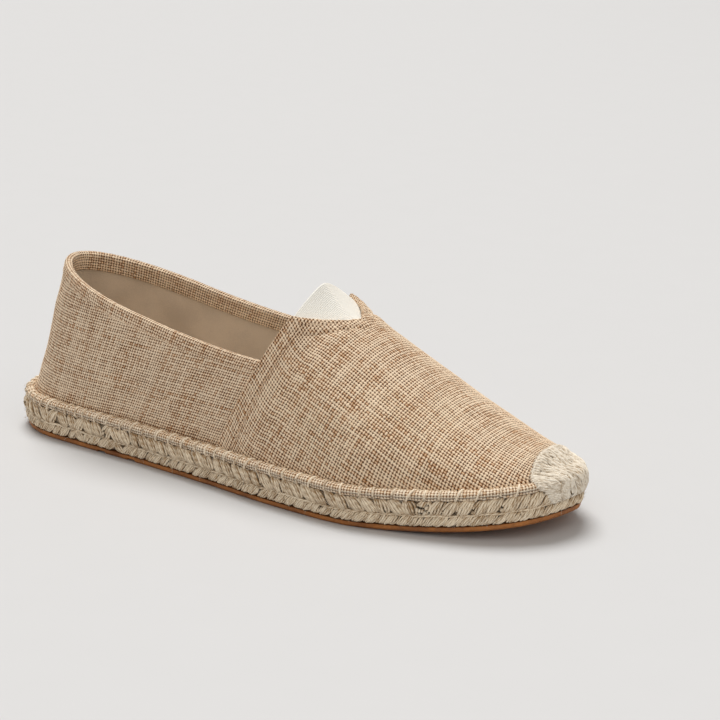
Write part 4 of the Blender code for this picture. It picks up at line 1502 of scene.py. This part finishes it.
def add_insole():
    """Cotton sock on the jute, slightly domed, with a turned edge."""
    inner = UPPER_INSET + WALL + SHELL_GAP
    s = np.linspace(0, SOLE.length, 240, endpoint=False)
    profile = (
        (inner + 0.0005, FOOT),
        (inner + 0.0010, FOOT + 0.7 * INSOLE_THICK),
        (inner + 0.0022, FOOT + INSOLE_THICK),
        (inner + 0.0032, FOOT + 0.86 * INSOLE_THICK),
        (inner + 0.0044, FOOT + INSOLE_THICK),
    )
    rows = [SOLE.at(s, inset, height) for inset, height in profile]
    edge = SOLE.at(s, inner + 0.0044, FOOT + INSOLE_THICK)
    centre = np.stack([edge[:, 0], np.zeros(len(s)), edge[:, 2]], axis=1)
    centre[:, 0] = np.clip(centre[:, 0], 0.05, 0.235)
    for share in (0.15, 0.35, 0.6, 0.8, 0.97):
        row = edge + (centre - edge) * share
        row[:, 2] = level(FOOT + INSOLE_THICK, row[:, 0]) + 0.0002 * math.sin(math.pi * share)
        rows.append(row)
    side = quads(len(rows), len(s), closed_m=True, flip=True).reshape(-1, 4)
    points = np.concatenate(rows)
    faces = np.concatenate([side, lid((len(rows) - 1) * len(s), len(s))])
    add_piece("insole_sock", (points, faces, points[:, :2] / YARN), COTTON, "cotton", "insole")


def add_outsole():
    """The rubber keeps its solid and gets its finish."""
    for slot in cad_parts["outsole"].material_slots:
        slot.material = RUBBER


def add_seam_stitches():
    """Two rows of stitches along the vamp's folded back edge, from the foot to the notch."""
    paths = []
    low, high = VAMP.reach(np.array([HEM_BAND]))
    for row_at in (HEM_BAND, 0.0022):
        rows0 = np.interp(row_at, VAMP.s, VAMP.rows)
        edge = throat_column(rows0)
        table = VAMP.t[int(rows0 * VAMP.FINE)]
        t_edge = np.interp(edge, VAMP.columns, table)
        for sign in (-1, 1):
            t_low = abs(low[0] if sign < 0 else high[0]) - 0.001
            stitch = 0.0030
            for k in range(int((t_low - abs(t_edge)) / stitch)):
                t0 = abs(t_edge) + (k + 0.15) * stitch
                t = sign * (t0 + stitch * 0.7 * np.linspace(0, 1, 5))
                rows, columns = VAMP.places(np.full(1, row_at), t[None, :])
                lift = np.array([-0.0004, 0.0001, 0.0002, 0.0001, -0.0004])
                points = VAMP.points(rows, columns) + VAMP.normals(rows, columns) * lift[None, :, None]
                paths.append(points[0])
    add_piece("seam_stitches", tubes(paths, 0.00024, 5), STITCH, "burlap")


FIBRES = 900


def add_fibres():
    """Loose jute fibres that stand off the braid, the roll and the toe cap."""
    random = np.random.default_rng(81)
    t = np.linspace(0, 1, 6)
    paths = []
    for _ in range(FIBRES):
        s = random.uniform(0, SOLE.length)
        height = random.uniform(JUTE_BASE + 0.0005, FOOT + ROLL_HEIGHT)
        reach = random.uniform(0.0006, 0.0020)
        curl = random.uniform(-0.0022, 0.0022, 2)
        bend = np.sin(t * random.uniform(1.5, 3.0))
        inset = -0.0002 - reach * t * (1.2 - 0.5 * t)
        paths.append(SOLE.at(s + curl[0] * bend, inset, height + curl[1] * bend * t))
    add_piece("loose_fibres", tubes(paths, 0.000045, 4), CAP_STRAND, "jute")


def add_camera():
    camera = bpy.data.cameras.new("camera")
    camera.sensor_width = SENSOR
    camera.lens = FOCAL_PIXELS / FRAME_PIXELS * SENSOR
    camera.clip_start = 0.01
    made = bpy.data.objects.new("camera", camera)
    bpy.context.scene.collection.objects.link(made)
    made.location = Vector(CAMERA_PLACE) + Vector(SHIFT)
    made.rotation_euler = Vector(CAMERA_LOOK).to_track_quat("-Z", "Y").to_euler()
    bpy.context.scene.camera = made


# Light: a wide soft sun from above and behind, a fill from the viewer's side, and some from all round.
# Suns have their energy, spread in degrees, place and colour.
WORLD_LIGHT = 0.33
WORLD_COLOUR = (1.0, 0.97, 0.93, 1.0)
FLOOR_HALF = 6.0
KEY_LIGHT = (2.62, 32, (-0.30, 0.32, 1.0), (1.0, 0.985, 0.96))
FILL_LIGHT = (0.66, 70, (0.60, -0.50, 0.85), (1.0, 0.93, 0.84))


def add_sun(name, energy, spread, place, colour):
    light = bpy.data.lights.new(name, "SUN")
    light.energy = energy
    light.angle = math.radians(spread)
    light.color = colour
    made = bpy.data.objects.new(name, light)
    made.rotation_euler = (-Vector(place)).to_track_quat("-Z", "Y").to_euler()
    bpy.context.scene.collection.objects.link(made)


def add_studio():
    """A pale floor under soft studio light."""
    corners = [(FLOOR_HALF * x, FLOOR_HALF * y, 0) for x, y in ((-1, -1), (1, -1), (1, 1), (-1, 1))]
    mesh = bpy.data.meshes.new("floor")
    mesh.from_pydata(corners, [], [(0, 1, 2, 3)])
    mesh.materials.append(floor_finish())
    floor = bpy.data.objects.new("floor", mesh)
    bpy.context.scene.collection.objects.link(floor)
    world = bpy.data.worlds.new("studio")
    world.use_nodes = True
    background = world.node_tree.nodes["Background"]
    background.inputs[0].default_value = WORLD_COLOUR
    background.inputs[1].default_value = WORLD_LIGHT
    bpy.context.scene.world = world
    bpy.context.scene.view_settings.view_transform = "Standard"
    add_sun("key", *KEY_LIGHT)
    add_sun("fill", *FILL_LIGHT)


add_camera()
add_studio()
add_vamp()
add_quarter()
add_lining()
add_collar_hem()
add_throat_hem()
add_seam_stitches()
add_gore()
add_edge_roll()
add_jute_sole()
add_sole_threads()
add_toe_cap()
add_insole()
add_outsole()
add_fibres()
